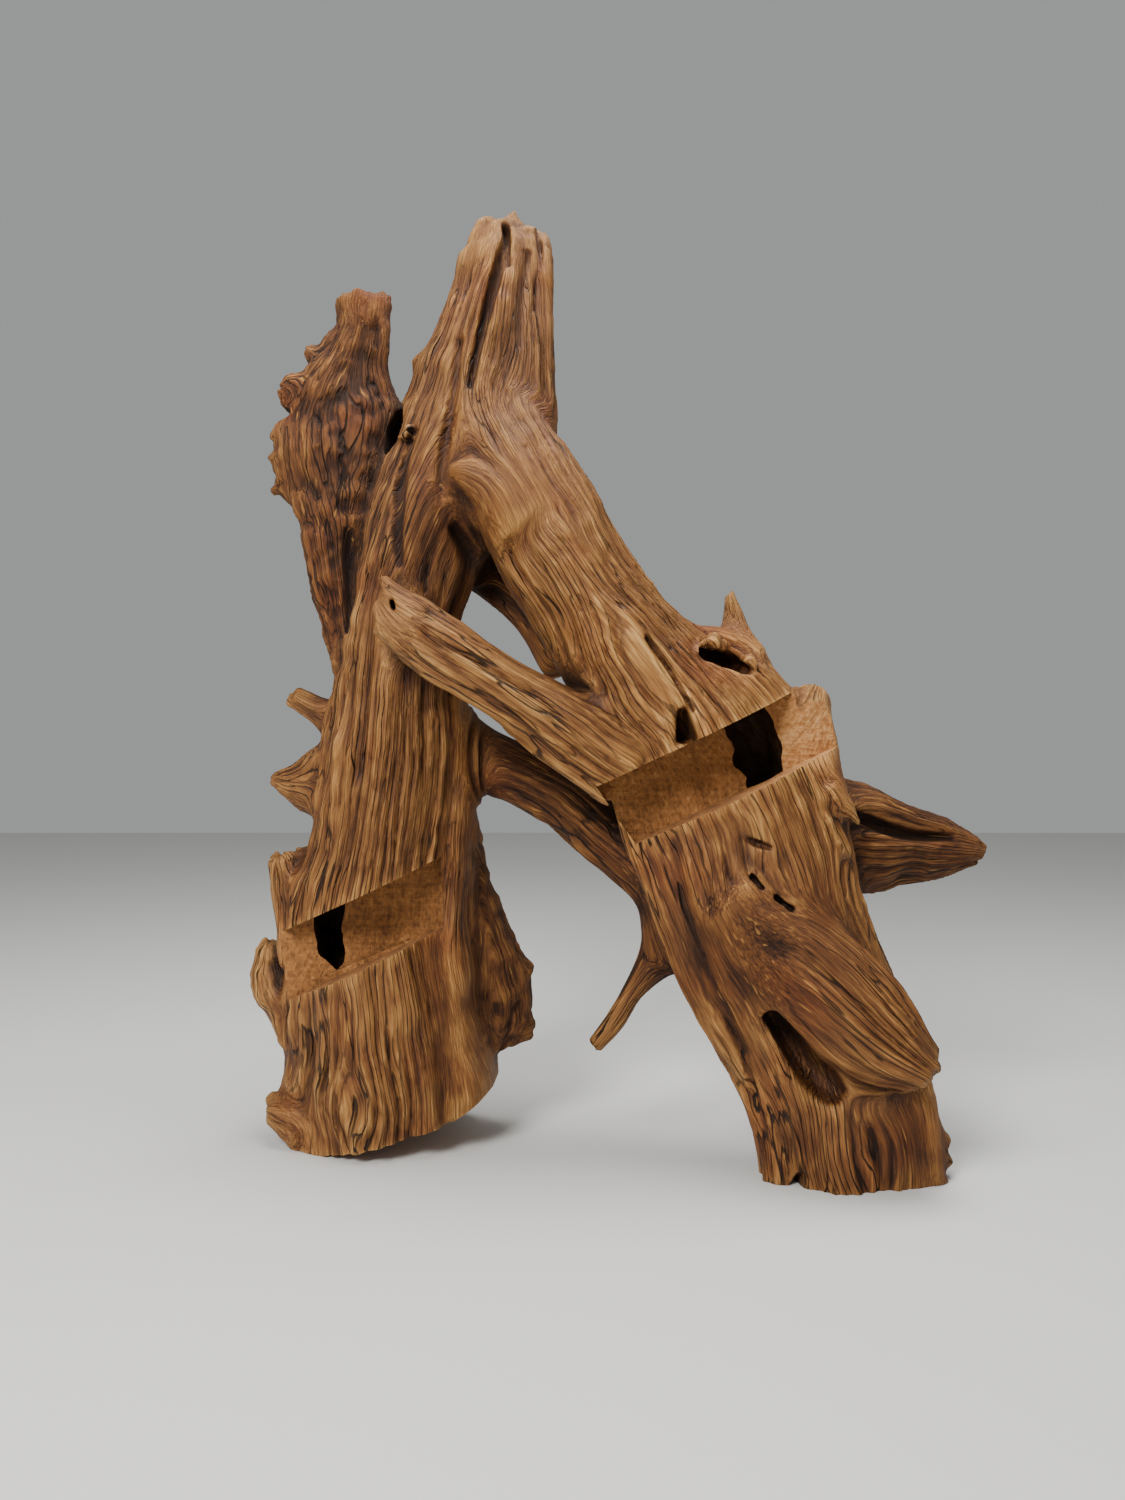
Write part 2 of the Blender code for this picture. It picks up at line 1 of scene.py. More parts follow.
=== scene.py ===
"""A dry tree root, oiled and weathered, that stands on its two broken feet.

The root grew as one piece. Its skin is drawn from the same stations as its solid, at a
fine resolution: limbs are grown together, flutes and grooves run along the grain, and
the hollows, the two sawn notches and the soles are cut into it. A grown form can't be
put together from primitives, so the skin is lofted, remeshed and settled on that form.
"""

from __future__ import annotations

import json
import logging
import math
from dataclasses import dataclass, field
from enum import Enum, IntEnum
from typing import Iterable, Sequence

import bmesh
import bpy
import mathutils
import numpy as np
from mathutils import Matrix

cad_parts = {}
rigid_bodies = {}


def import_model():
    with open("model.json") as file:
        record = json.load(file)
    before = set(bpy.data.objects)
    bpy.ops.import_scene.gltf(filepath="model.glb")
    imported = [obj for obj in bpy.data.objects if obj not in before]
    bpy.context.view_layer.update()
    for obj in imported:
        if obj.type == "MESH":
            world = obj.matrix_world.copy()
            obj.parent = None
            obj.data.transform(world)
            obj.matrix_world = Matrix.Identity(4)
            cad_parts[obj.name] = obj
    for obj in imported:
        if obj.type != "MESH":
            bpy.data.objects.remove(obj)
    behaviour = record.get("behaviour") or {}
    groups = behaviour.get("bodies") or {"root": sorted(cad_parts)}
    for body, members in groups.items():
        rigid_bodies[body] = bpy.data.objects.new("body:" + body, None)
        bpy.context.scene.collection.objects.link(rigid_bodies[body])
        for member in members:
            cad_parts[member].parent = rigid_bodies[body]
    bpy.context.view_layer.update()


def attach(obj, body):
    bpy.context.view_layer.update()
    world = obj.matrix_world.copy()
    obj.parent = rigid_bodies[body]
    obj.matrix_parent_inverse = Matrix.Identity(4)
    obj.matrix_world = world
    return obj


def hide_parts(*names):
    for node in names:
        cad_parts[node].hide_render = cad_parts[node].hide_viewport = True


LOG = logging.getLogger("dry_root")
Array = np.ndarray

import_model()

# The stations are in whole millimetres, and all else is in metres.
MM_PER_METRE = 1000


@dataclass(frozen=True)
class Limb:
    """One limb, drawn from where it grows out to its end.

    Each station is (x, z, depth behind the middle, half width, half depth), with x, z
    and the half width as the front view shows them on the plane through the middle.
    """

    name: str
    parent: str
    flute: float
    burl: float
    # tone: how much darker or lighter the limb is coloured, its own wood's tone and, on the
    # horn and the tie, partly painted shade.
    tone: float
    stations: list[tuple[int, ...]]


LIMBS = [
    Limb("stem", "", 0.009, 0.004, 0.0, [
        (-176, 1462, 0, 42, 34), (-174, 1436, 0, 65, 50), (-188, 1338, 0, 86, 72),
        (-204, 1242, 5, 110, 85), (-222, 1146, 10, 129, 95), (-283, 1034, 15, 107, 100),
        (-334, 890, 15, 89, 95), (-350, 762, 20, 99, 100), (-358, 634, 30, 115, 108),
        (-373, 506, 45, 114, 115), (-391, 378, 65, 134, 130), (-377, 250, 85, 152, 145),
        (-360, 122, 110, 165, 150), (-355, -10, 130, 158, 150)]),
    Limb("bough", "stem", 0.009, 0.003, 0.12, [
        (-186, 1330, 0, 40, 34), (-196, 1262, -14, 52, 48), (-203, 1194, -30, 62, 60),
        (-168, 1106, -45, 86, 78), (-121, 1015, -60, 94, 80), (-42, 884, -60, 92, 85),
        (41, 769, -55, 113, 95), (123, 669, -50, 158, 105), (186, 535, -50, 174, 110),
        (224, 381, -60, 159, 110), (286, 247, -60, 152, 94), (346, 114, -62, 145, 84),
        (369, 10, -70, 141, 80), (372, -90, -70, 139, 80)]),
    Limb("ledge", "bough", 0.003, 0.0, 0.0, [
        (-262, 1092, -86, 12, 18), (-238, 1088, -92, 24, 30), (-195, 1062, -92, 38, 45),
        (-150, 1010, -90, 45, 55)]),
    Limb("strut", "bough", 0.005, 0.002, 0.08, [
        (13, 634, -85, 82, 60), (-91, 690, -105, 64, 52), (-187, 748, -120, 51, 44),
        (-283, 810, -130, 50, 40), (-344, 858, -130, 42, 30), (-368, 886, -125, 24, 18)]),
    Limb("tie", "bough", 0.005, 0.0, -0.48, [
        (103, 332, -10, 50, 50), (68, 434, 20, 45, 55), (-27, 525, 40, 50, 50),
        (-94, 581, 55, 47, 45), (-163, 615, 65, 47, 42), (-222, 634, 70, 59, 45),
        (-259, 647, 70, 68, 50)]),
    Limb("plate", "stem", 0.004, 0.01, -0.55, [
        (-412, 780, 30, 34, 50), (-430, 874, 35, 38, 50), (-442, 953, 40, 46, 55),
        (-445, 1033, 45, 70, 60), (-443, 1081, 50, 95, 60), (-433, 1145, 55, 107, 56),
        (-430, 1209, 60, 93, 48), (-420, 1262, 60, 62, 40), (-406, 1313, 60, 42, 34),
        (-401, 1360, 60, 42, 26)]),
    Limb("back_arch", "stem", 0.004, 0.0, -0.7, [
        (-262, 985, 80, 45, 45), (-200, 932, 85, 40, 36), (-134, 872, 80, 38, 34),
        (-80, 800, 50, 46, 45)]),
    Limb("thorn", "bough", 0.001, 0.002, 0.05, [
        (250, 712, -10, 44, 60), (214, 770, 0, 36, 45), (194, 821, 10, 24, 24),
        (186, 866, 18, 16, 14), (180, 897, 20, 9, 9)]),
    Limb("eyelid", "bough", 0.001, 0.0, 0.0, [
        (70, 822, -20, 26, 36), (125, 832, -14, 17, 30), (170, 828, -10, 16, 26),
        (212, 800, -5, 22, 30)]),
    Limb("eye_back", "bough", 0.001, 0.0, -0.3, [
        (100, 795, 30, 30, 30), (160, 795, 42, 36, 30), (225, 770, 30, 30, 30)]),
    Limb("horn", "bough", 0.008, 0.004, -0.52, [
        (293, 530, 20, 88, 62), (389, 508, 45, 92, 60), (453, 503, 60, 67, 50),
        (517, 495, 72, 54, 40), (572, 489, 80, 27, 24)]),
    Limb("ear", "bough", 0.003, 0.004, 0.15, [
        (322, 560, -20, 46, 80), (306, 630, -20, 46, 76), (304, 700, -15, 38, 62),
        (312, 736, -5, 26, 36)]),
    Limb("fin", "bough", 0.003, 0.002, -0.3, [
        (346, 440, 0, 26, 50), (374, 365, 0, 28, 45), (408, 306, -5, 22, 40),
        (418, 250, -20, 30, 50)]),
    Limb("lobe", "bough", 0.007, 0.002, -0.05, [
        (200, 405, -95, 78, 70), (303, 297, -132, 88, 64), (405, 200, -149, 81, 58),
        (481, 146, -150, 46, 42)]),
    Limb("toe", "bough", 0.004, 0.006, -0.1, [
        (410, 110, -60, 80, 70), (452, 45, -60, 58, 60), (452, -10, -60, 56, 58)]),
    Limb("spur", "tie", 0.002, 0.001, -0.15, [
        (85, 345, 0, 45, 34), (60, 312, 0, 30, 22), (24, 263, 0, 17, 14), (-1, 221, 0, 16, 13),
        (-34, 179, 0, 14, 10)]),
    Limb("finger", "stem", 0.004, 0.003, 0.0, [
        (-500, 330, 60, 34, 40), (-518, 405, 55, 30, 34), (-533, 474, 50, 26, 28)]),
    Limb("knuckle", "stem", 0.003, 0.006, 0.05, [
        (-490, 215, 80, 40, 45), (-545, 275, 85, 36, 36), (-553, 335, 85, 20, 22)]),
    Limb("front_toe", "stem", 0.003, 0.005, -0.05, [
        (-450, 74, 70, 60, 60), (-505, 72, 60, 38, 45), (-548, 78, 55, 22, 25)]),
    Limb("stub", "stem", 0.002, 0.003, -0.1, [
        (-425, 680, 50, 36, 40), (-470, 710, 55, 23, 24), (-510, 733, 55, 19, 18)]),
    Limb("beak", "stem", 0.002, 0.006, -0.25, [
        (-440, 600, 45, 86, 55), (-492, 598, 55, 50, 38), (-522, 599, 55, 24, 22),
        (-546, 603, 55, 12, 12)]),
    Limb("fold", "stem", 0.006, 0.004, -0.05, [
        (-268, 735, 45, 28, 55), (-258, 610, 55, 36, 60), (-258, 474, 65, 34, 66),
        (-266, 350, 70, 40, 80), (-258, 230, 80, 44, 90), (-262, 110, 100, 60, 100)]),
    Limb("skirt", "stem", 0.005, 0.009, -0.6, [
        (-244, 530, 100, 18, 40), (-236, 480, 110, 24, 45), (-226, 402, 115, 44, 50),
        (-204, 314, 120, 57, 55), (-190, 240, 125, 58, 55), (-198, 195, 125, 36, 45)]),
    Limb("skirt_tip", "skirt", 0.001, 0.006, -0.6, [
        (-190, 235, 125, 35, 35), (-150, 212, 125, 26, 24), (-138, 206, 125, 20, 18)]),
    Limb("heel", "stem", 0.006, 0.004, 0.0, [
        (-350, 330, 130, 80, 70), (-335, 190, 200, 75, 65), (-320, 60, 245, 70, 60),
        (-318, -80, 260, 70, 60)]),
]

# Thin broken ends that the solid has too.
SLIVERS = [
    Limb("crown_left", "stem", 0.001, 0.001, 0.0, [
        (-216, 1415, -8, 24, 26), (-214, 1460, -6, 19, 20), (-210, 1486, -6, 9, 10)]),
    Limb("crown_middle", "stem", 0.001, 0.001, 0.0, [
        (-172, 1430, 4, 26, 28), (-169, 1480, 4, 19, 20), (-166, 1502, 4, 8, 9)]),
    Limb("crown_right", "stem", 0.001, 0.001, 0.0, [
        (-124, 1395, 0, 19, 24), (-120, 1448, 0, 15, 17), (-118, 1468, 0, 10, 11)]),
    Limb("jag", "stem", 0.001, 0.001, -0.2, [
        (-298, 1200, 20, 20, 24), (-318, 1272, 20, 10, 12)]),
    Limb("knob", "plate", 0.001, 0.003, -0.4, [
        (-470, 1220, 55, 30, 30), (-522, 1226, 55, 22, 24)]),
    Limb("prick", "stem", 0.001, 0.001, -0.1, [
        (-486, 440, 50, 18, 20), (-500, 488, 50, 8, 9)]),
]

# Small broken ends and teeth, too small for the solid.
TWIGS = [
    Limb("strut_point", "strut", 0.001, 0.001, -0.1, [
        (-325, 862, -135, 22, 18), (-352, 892, -135, 13, 12), (-373, 924, -132, 6, 6)]),
    Limb("strut_lip", "strut", 0.001, 0.002, 0.1, [
        (-330, 838, -130, 24, 22), (-362, 846, -130, 18, 16), (-380, 848, -128, 9, 9)]),
    Limb("crown_front", "stem", 0.002, 0.002, -0.1, [
        (-205, 1400, -30, 24, 24), (-196, 1455, -26, 17, 16), (-190, 1486, -22, 9, 9)]),
    Limb("crown_back", "stem", 0.002, 0.002, -0.2, [
        (-150, 1400, 30, 24, 20), (-146, 1450, 28, 17, 14), (-143, 1478, 28, 8, 8)]),
    Limb("neck_left", "plate", 0.001, 0.002, -0.45, [
        (-408, 1335, 60, 22, 20), (-431, 1371, 60, 7, 10)]),
    Limb("neck_right", "plate", 0.001, 0.002, -0.45, [
        (-392, 1335, 60, 24, 20), (-369, 1373, 60, 7, 10)]),
    Limb("step_high", "plate", 0.001, 0.003, -0.45, [
        (-425, 1280, 60, 24, 24), (-458, 1306, 60, 9, 12)]),
    Limb("step_low", "plate", 0.001, 0.003, -0.45, [
        (-455, 1250, 58, 26, 26), (-493, 1286, 58, 9, 12)]),
    Limb("tooth_high", "plate", 0.001, 0.002, -0.45, [
        (-505, 1135, 52, 18, 22), (-543, 1142, 50, 6, 9)]),
    Limb("tooth_middle", "plate", 0.001, 0.002, -0.45, [
        (-500, 1098, 50, 18, 22), (-546, 1108, 48, 6, 9)]),
    Limb("tooth_low", "plate", 0.001, 0.002, -0.45, [
        (-495, 1070, 50, 18, 22), (-545, 1066, 48, 6, 9)]),
    Limb("skirt_tooth", "skirt", 0.001, 0.002, -0.5, [
        (-175, 310, 120, 18, 20), (-136, 300, 120, 6, 10)]),
    Limb("crown_spike", "stem", 0.001, 0.001, -0.1, [
        (-206, 1440, 0, 16, 16), (-209, 1482, 0, 10, 10), (-205, 1497, 0, 5, 5)]),
    Limb("toe_tooth_high", "toe", 0.001, 0.003, -0.4, [
        (490, 40, -80, 20, 26), (516, 34, -82, 8, 14), (526, 24, -82, 5, 8)]),
    Limb("toe_tooth_low", "toe", 0.001, 0.003, -0.4, [
        (480, 0, -80, 24, 28), (512, 0, -82, 10, 16), (524, -6, -82, 5, 8)]),
    Limb("flake_high", "bough", 0.001, 0.001, 0.0, [
        (335, 585, -105, 18, 14), (366, 556, -100, 12, 9), (387, 532, -96, 5, 5)]),
    Limb("flake_low", "bough", 0.001, 0.001, 0.0, [
        (325, 530, -110, 18, 14), (350, 505, -105, 12, 9), (367, 484, -100, 5, 5)]),
]

# Hollows that the skin is eased round, by name.
HOLLOWS = {
    "foot_hollow": [(243, 230, -140, 12, 50), (272, 192, -135, 18, 58),
        (300, 150, -135, 22, 52), (330, 118, -145, 30, 45), (352, 98, -152, 20, 30)],
    "horn_groove": [(372, 550, -30, 8, 22), (420, 530, -12, 11, 28), (475, 514, 10, 10, 26),
        (540, 510, 35, 6, 16)],
    "eye": [(128, 806, -110, 9, 35), (150, 800, -90, 16, 62), (176, 791, -70, 18, 68),
        (200, 779, -60, 11, 40)],
    "flank_groove": [(-430, 1000, -22, 7, 16), (-430, 960, -22, 13, 24),
        (-426, 900, -22, 12, 24), (-430, 840, -26, 7, 16)],
    "crown_pocket": [(-346, 1192, 15, 10, 35), (-350, 1155, 20, 19, 45),
        (-356, 1120, 25, 9, 30)],
    "edge_pit": [(104, 714, -150, 7, 25), (108, 692, -150, 13, 40), (112, 668, -150, 17, 50)],
    "arch_pocket": [(-262, 1010, -88, 8, 30), (-241, 980, -80, 18, 50),
        (-223, 942, -70, 23, 58), (-214, 905, -60, 14, 40)],
}

# Small pits, cracks and worn grooves in the skin.
PITS = {
    "pit_high": [(205, 508, -168, 5, 12), (225, 500, -160, 5, 16), (243, 494, -168, 4, 12)],
    "pit_middle": [(216, 448, -166, 4, 12), (224, 437, -158, 5, 18), (233, 426, -166, 4, 12)],
    "pit_low": [(252, 416, -168, 4, 12), (265, 405, -160, 5, 16), (280, 395, -168, 4, 12)],
    "eye_crack": [(172, 784, -140, 3, 18), (203, 748, -150, 4, 22), (236, 712, -155, 3, 18)],
    "bough_crack": [(46, 830, -150, 2, 12), (88, 772, -160, 4, 20), (122, 712, -165, 3, 14)],
    "crown_slot": [(-126, 1418, -46, 2, 10), (-131, 1376, -60, 4, 18),
        (-138, 1340, -66, 2, 10)],
    "crown_flute_left": [(-176, 1470, -50, 6, 16), (-192, 1410, -66, 10, 18),
        (-216, 1320, -80, 8, 18), (-236, 1230, -92, 4, 14)],
    "crown_flute_right": [(-142, 1450, -44, 5, 14), (-150, 1390, -65, 9, 18),
        (-156, 1300, -78, 6, 16)],
    "crown_gap": [(-127, 1482, -40, 6, 24), (-123, 1450, -45, 5, 22), (-121, 1425, -50, 3, 14)],
    "crown_cleft": [(-178, 1490, -36, 7, 20), (-176, 1462, -50, 6, 20),
        (-174, 1425, -62, 3, 12)],
    "stem_seam": [(-325, 1165, -59, 7, 20), (-346, 1100, -74, 13, 29),
        (-353, 1020, -90, 13, 27), (-350, 950, -103, 8, 24)],
    "stem_groove": [(-252, 1310, -82, 7, 20), (-267, 1210, -96, 12, 26),
        (-281, 1110, -107, 12, 28), (-286, 1030, -113, 8, 24)],
    "sole_nick": [(290, -68, -150, 12, 60), (300, -38, -150, 7, 50)],
    "strut_hole": [(-358, 888, -142, 4, 18), (-354, 872, -142, 5, 22)],
    "knob_bite": [(-520, 1278, 50, 14, 80), (-500, 1262, 50, 7, 80)],
    "knob_under": [(-552, 1186, 50, 12, 80), (-520, 1184, 50, 6, 80)],
}

# Rotten holes that the notches open.
RIFTS = {
    "left_rift": [(-438, 296, 55, 12, 30), (-445, 330, 55, 26, 55), (-452, 390, 55, 28, 60),
        (-452, 450, 55, 20, 45), (-448, 500, 55, 8, 20)],
    "right_rift": [(183, 765, -30, 16, 25), (196, 720, -30, 40, 45), (214, 650, -30, 43, 55),
        (236, 580, -30, 34, 50), (248, 530, -30, 12, 25)],
}


class Seed(IntEnum):
    """Which smooth noise gives what."""

    FLUTE = 1
    FLUTE_FINE = 2
    BURL = 3
    BURL_FINE = 4
    WANDER_ACROSS = 11
    WANDER_DEEP = 12
    GROOVE = 13
    GROOVE_FINE = 14
    GROOVE_PATCH = 15
    SPLINTER = 16
    SPLIT_PATCH = 17
    SPLIT = 18
    RAG = 19
    RING_DRIFT = 20
    RING_FINE = 21
    RING_SPECK = 22
    HOLLOW_FINE = 23
    HOLLOW_BROAD = 24
    ROT_BROAD = 25
    ROT_FINE = 26


@dataclass(frozen=True)
class FrontView:
    """The eye that the stations are drawn from, and the middle of the root in that view."""

    eye_x: float = -0.087
    eye_height: float = 0.650
    eye_distance: float = 1.800
    middle_x: float = 0.004
    middle_y: float = 0.046

    def place(self, rows: Array) -> tuple[Array, Array]:
        """Puts stations at their depth.

        Args:
            rows: The stations, one a row.

        Returns:
            The centres in the root's frame, and how much each is scaled by its depth.
        """
        eye = np.array([self.eye_x, -self.eye_distance, self.eye_height])
        seen = np.column_stack([rows[:, 0], np.zeros(len(rows)), rows[:, 1]])
        nearness = (self.eye_distance + rows[:, 2:3]) / self.eye_distance
        centres = eye + (seen - eye) * nearness - [self.middle_x, self.middle_y, 0.0]
        return centres, nearness


VIEW = FrontView()


@dataclass(frozen=True)
class Slab:
    """The slanting slab that the two notches were sawn for."""

    x: float = -0.281
    z: float = 0.480
    slope: float = math.radians(25.3)
    height: float = 0.104

    def top(self, x: float) -> float:
        """The height of the slab's top at x."""
        return self.z + (x + VIEW.middle_x - self.x) * math.tan(self.slope)


SLAB = Slab()


@dataclass(frozen=True)
class Notch:
    """One sawn notch: its inner end at the top and the bottom, its outer end, its wall."""

    name: str
    top_end: float
    bottom_end: float
    outer_end: float
    wall: float


NOTCHES = [
    Notch("left_notch", -0.281, -0.276, -0.750, 0.020),
    Notch("right_notch", -0.037, 0.023, 0.600, -0.060),
]
LEFT_SOLE = [(-0.474, 0.0), (-0.262, 0.055), (-0.120, 0.150)]


@dataclass(frozen=True)
class Knot:
    """A knot that the grain flows round.

    It has a place, how far it reaches, how far it swells and how many year rings it
    shows round its middle.
    """

    x: float
    y: float
    z: float
    reach: float
    swell: float
    rings: float

    def weight(self, points: Array) -> Array:
        """How near each point is: 1 in the knot's middle, 0 far from it."""
        return np.exp(-(np.linalg.norm(points - [self.x, self.y, self.z], axis=1)
                        / self.reach) ** 2)


KNOTS = [
    Knot(-0.010, -0.190, 0.805, 0.070, 0.004, 1.5),
    Knot(0.040, -0.190, 0.716, 0.075, 0.002, 3.0),
    Knot(-0.104, -0.178, 0.990, 0.034, -0.003, 2.0),
    Knot(-0.435, -0.085, 0.088, 0.055, 0.008, 2.5),
    Knot(-0.330, -0.107, 0.880, 0.040, 0.003, 0.0),
    Knot(0.232, -0.177, 0.460, 0.055, 0.004, 0.0),
    Knot(0.352, -0.185, 0.045, 0.070, 0.003, 2.5),
    Knot(-0.440, -0.017, 1.180, 0.060, 0.007, 2.0),
    Knot(-0.470, -0.007, 1.070, 0.045, 0.005, 2.0),
    Knot(-0.225, -0.067, 0.310, 0.050, 0.006, 0.0),
    Knot(-0.200, 0.073, 1.220, 0.050, 0.005, 2.0),
    Knot(0.120, 0.073, 0.680, 0.070, 0.006, 4.0),
    Knot(-0.380, 0.123, 0.620, 0.060, 0.006, 3.0),
    Knot(-0.300, 0.233, 0.300, 0.070, 0.006, 3.0),
    Knot(0.330, 0.033, 0.300, 0.060, 0.005, 3.0),
]


@dataclass(frozen=True)
class ShadeAndToneSpot:
    """A patch painted darker or lighter, partly as painted shade and painted light and partly
    as the wood's own tone: its middle in the front view, its reach.
    """

    x: float
    z: float
    reach: float
    tone: float


SHADE_AND_TONE_SPOTS = [
    ShadeAndToneSpot(-0.300, 0.985, 0.110, -0.65),
    ShadeAndToneSpot(0.160, 0.350, 0.130, -0.80),
    ShadeAndToneSpot(0.372, 0.030, 0.130, -0.50),
    ShadeAndToneSpot(-0.168, 1.273, 0.110, -0.10),
    ShadeAndToneSpot(-0.075, 0.960, 0.090, 0.15),
    ShadeAndToneSpot(0.080, 0.720, 0.090, 0.15),
    ShadeAndToneSpot(-0.430, 1.200, 0.140, -0.15),
    ShadeAndToneSpot(0.285, 0.670, 0.050, 1.00),
]


@dataclass(frozen=True)
class Resolution:
    """How fine the skin and its cutters are made."""

    spine_step: float = 0.012
    ring_sides: int = 24
    first_voxel: float = 0.006
    skin_voxel: float = 0.0032
    last_voxel: float = 0.0027
    hollow_voxel: float = 0.003
    rift_voxel: float = 0.004
    triangles: int = 196000


FINE = Resolution()

# How round the limbs grow into each other, and the hollows' rims.
FILLET = 0.009
HOLLOW_FILLET = 0.007
END_CAP = 0.45
BOUND_MARGIN = 0.10
THINNEST = 0.004
# A knot is left out where its weight is lower than this.
KNOT_CUTOFF = 0.02


def unit(vectors: Array) -> Array:
    """Vectors brought to length 1."""
    return vectors / np.linalg.norm(vectors, axis=-1, keepdims=True)


def smooth_path(points: Array) -> Array:
    """A Catmull-Rom curve through the points.

    Args:
        points: One station a row.

    Returns:
        Samples of the curve, about a spine step apart.
    """
    padded = np.vstack([2 * points[0] - points[1], points, 2 * points[-1] - points[-2]])
    pieces = []
    for before, start, end, after in zip(padded, padded[1:], padded[2:], padded[3:]):
        count = max(2, round(float(np.linalg.norm((end - start)[:3])) / FINE.spine_step))
        t = (np.arange(count) / count)[:, None]
        pieces.append(0.5 * (
            2 * start
            + (end - before) * t
            + (2 * before - 5 * start + 4 * end - after) * t ** 2
            + (3 * start - before - 3 * end + after) * t ** 3
        ))
    return np.vstack(pieces + [points[-1:]])


def lattice_noise(points: Array, seed: int) -> Array:
    """Smooth noise from -1 to 1, from a hashed value at each corner of a unit lattice.

    Args:
        points: Where to read it, one point a row.
        seed: Which noise.

    Returns:
        One value a point.
    """
    cell = np.floor(points).astype(np.int64)
    f = points - cell
    f = f * f * (3 - 2 * f)
    total = np.zeros(len(points))
    for corner in range(8):
        step = np.array([corner & 1, (corner >> 1) & 1, (corner >> 2) & 1])
        q = cell + step
        h = (q[:, 0] * 374761393 + q[:, 1] * 668265263 + q[:, 2] * 2147483647 + seed * 974711)
        h = (h ^ (h >> 13)) * 1274126177
        value = ((h ^ (h >> 16)) & 0xFFFF) / 32767.5 - 1
        total += value * np.where(step, f, 1 - f).prod(1)
    return total


@dataclass
class Probe:
    """What one limb says about a set of points.

    The distance outside its skin, the grain (two numbers round the limb and one along
    it), and how far round its broken end each point lies.
    """

    distance: Array
    grain: Array
    end: Array


class Spine:
    """A limb's centre line with its frame, radii and length, ready to measure from."""

    # The grain spreads towards the middle by this power, up to this share of the radius.
    core: float = 0.35
    core_power: float = 0.85

    def __init__(self, limb: Limb) -> None:
        """Samples the limb's curve and sets a frame along it.

        Args:
            limb: The limb to sample.
        """
        rows = np.array(limb.stations, float) / MM_PER_METRE
        placed, nearness = VIEW.place(rows)
        path = smooth_path(np.hstack([placed, rows[:, 3:4] * nearness, rows[:, 4:5]]))
        self.limb = limb
        self.centre = path[:, :3]
        self.half_width = np.maximum(path[:, 3], THINNEST)
        self.half_depth = np.maximum(path[:, 4], THINNEST)
        self.along = unit(np.gradient(self.centre, axis=0))
        back = np.array([0.0, 1.0, 0.0])
        self.depth = unit(back - self.along * (self.along @ back)[:, None])
        self.side = np.cross(self.along, self.depth)
        steps = np.linalg.norm(np.diff(self.centre, axis=0), axis=1)
        self.length = np.concatenate([[0.0], np.cumsum(steps)])
        self.mean_radius = math.sqrt(self.half_width.mean() * self.half_depth.mean())
        self.offset = np.zeros(3)
        self.sign = 1.0

    def near(self, points: Array, margin: float) -> Array:
        """Which points lie near the limb.

        Args:
            points: One point a row.
            margin: How far the limb's box is grown.

        Returns:
            True for each point in the box.
        """
        reach = max(self.half_width.max(), self.half_depth.max()) + margin
        low, high = self.centre.min(0) - reach, self.centre.max(0) + reach
        return np.all((points > low) & (points < high), axis=1)

    def measure(self, points: Array) -> Probe:
        """Measures points from the limb.

        Args:
            points: One point a row.

        Returns:
            What the limb says about each point.
        """
        gaps = (
            (self.centre ** 2).sum(1)[None].astype(np.float32)
            - 2 * points.astype(np.float32) @ self.centre.T.astype(np.float32)
        )
        k = gaps.argmin(1)
        run = ((points - self.centre[k]) * self.along[k]).sum(1)
        neighbour = np.clip(k + np.where(run > 0, 1, -1), 0, len(self.centre) - 1)
        span = np.abs(self.length[neighbour] - self.length[k])
        share = np.where(span > 0, np.minimum(np.abs(run) / np.maximum(span, 1e-9), 1.0), 0.0)

        def between(values: Array) -> Array:
            """The values at each point's place between two samples."""
            mix = share.reshape((-1,) + (1,) * (values.ndim - 1))
            return values[k] * (1 - mix) + values[neighbour] * mix

        away = points - between(self.centre)
        a = (away * between(self.side)).sum(1)
        b = (away * between(self.depth)).sum(1)
        past = (away * between(self.along)).sum(1)
        half_width, half_depth = between(self.half_width), between(self.half_depth)
        cap = END_CAP * np.minimum(half_width, half_depth)
        u, v = a / half_width, b / half_depth
        out = np.maximum(np.sqrt(u ** 2 + v ** 2 + (past / cap) ** 2), 1e-4)
        distance = np.sqrt(a ** 2 + b ** 2 + past ** 2) * (1 - 1 / out)
        round_out = self.mean_radius / np.maximum(np.hypot(u, v), self.core) ** self.core_power
        grain = np.column_stack([u * round_out, v * round_out, between(self.length) + past])
        grain *= [self.sign, 1.0, self.sign]
        return Probe(distance, grain + self.offset, np.clip(past / cap, 0.0, 1.0))


def grown(limbs: Iterable[Limb]) -> list[Spine]:
    """Spines for the limbs.

    Args:
        limbs: Each after the limb it grows from.

    Returns:
        The spines, each with its grain carried on from its parent's.
    """
    spines: dict[str, Spine] = {}
    for limb in limbs:
        spine = Spine(limb)
        if limb.parent:
            parent = spines[limb.parent]
            start = spine.centre[:1]
            near = ((parent.centre - start) ** 2).sum(1).argmin()
            if parent.sign * float(parent.along[near] @ spine.along[0]) < 0:
                spine.sign = -1.0
            spine.offset = parent.measure(start).grain[0]
        spines[limb.name] = spine
    return list(spines.values())


def hollowed(table: dict[str, list[tuple[int, ...]]]) -> list[Spine]:
    """Spines for hollows, which have no parent, flutes, burls or tone."""
    return grown(Limb(name, "", 0.0, 0.0, 0.0, rows) for name, rows in table.items())


@dataclass
class Reading:
    """What the whole form says about a set of points.

    Where limbs meet and their grain doesn't run on from one to the other, calm is 0.
    """

    distance: Array
    grain: Array
    flute: Array
    burl: Array
    tone: Array
    end: Array
    calm: Array


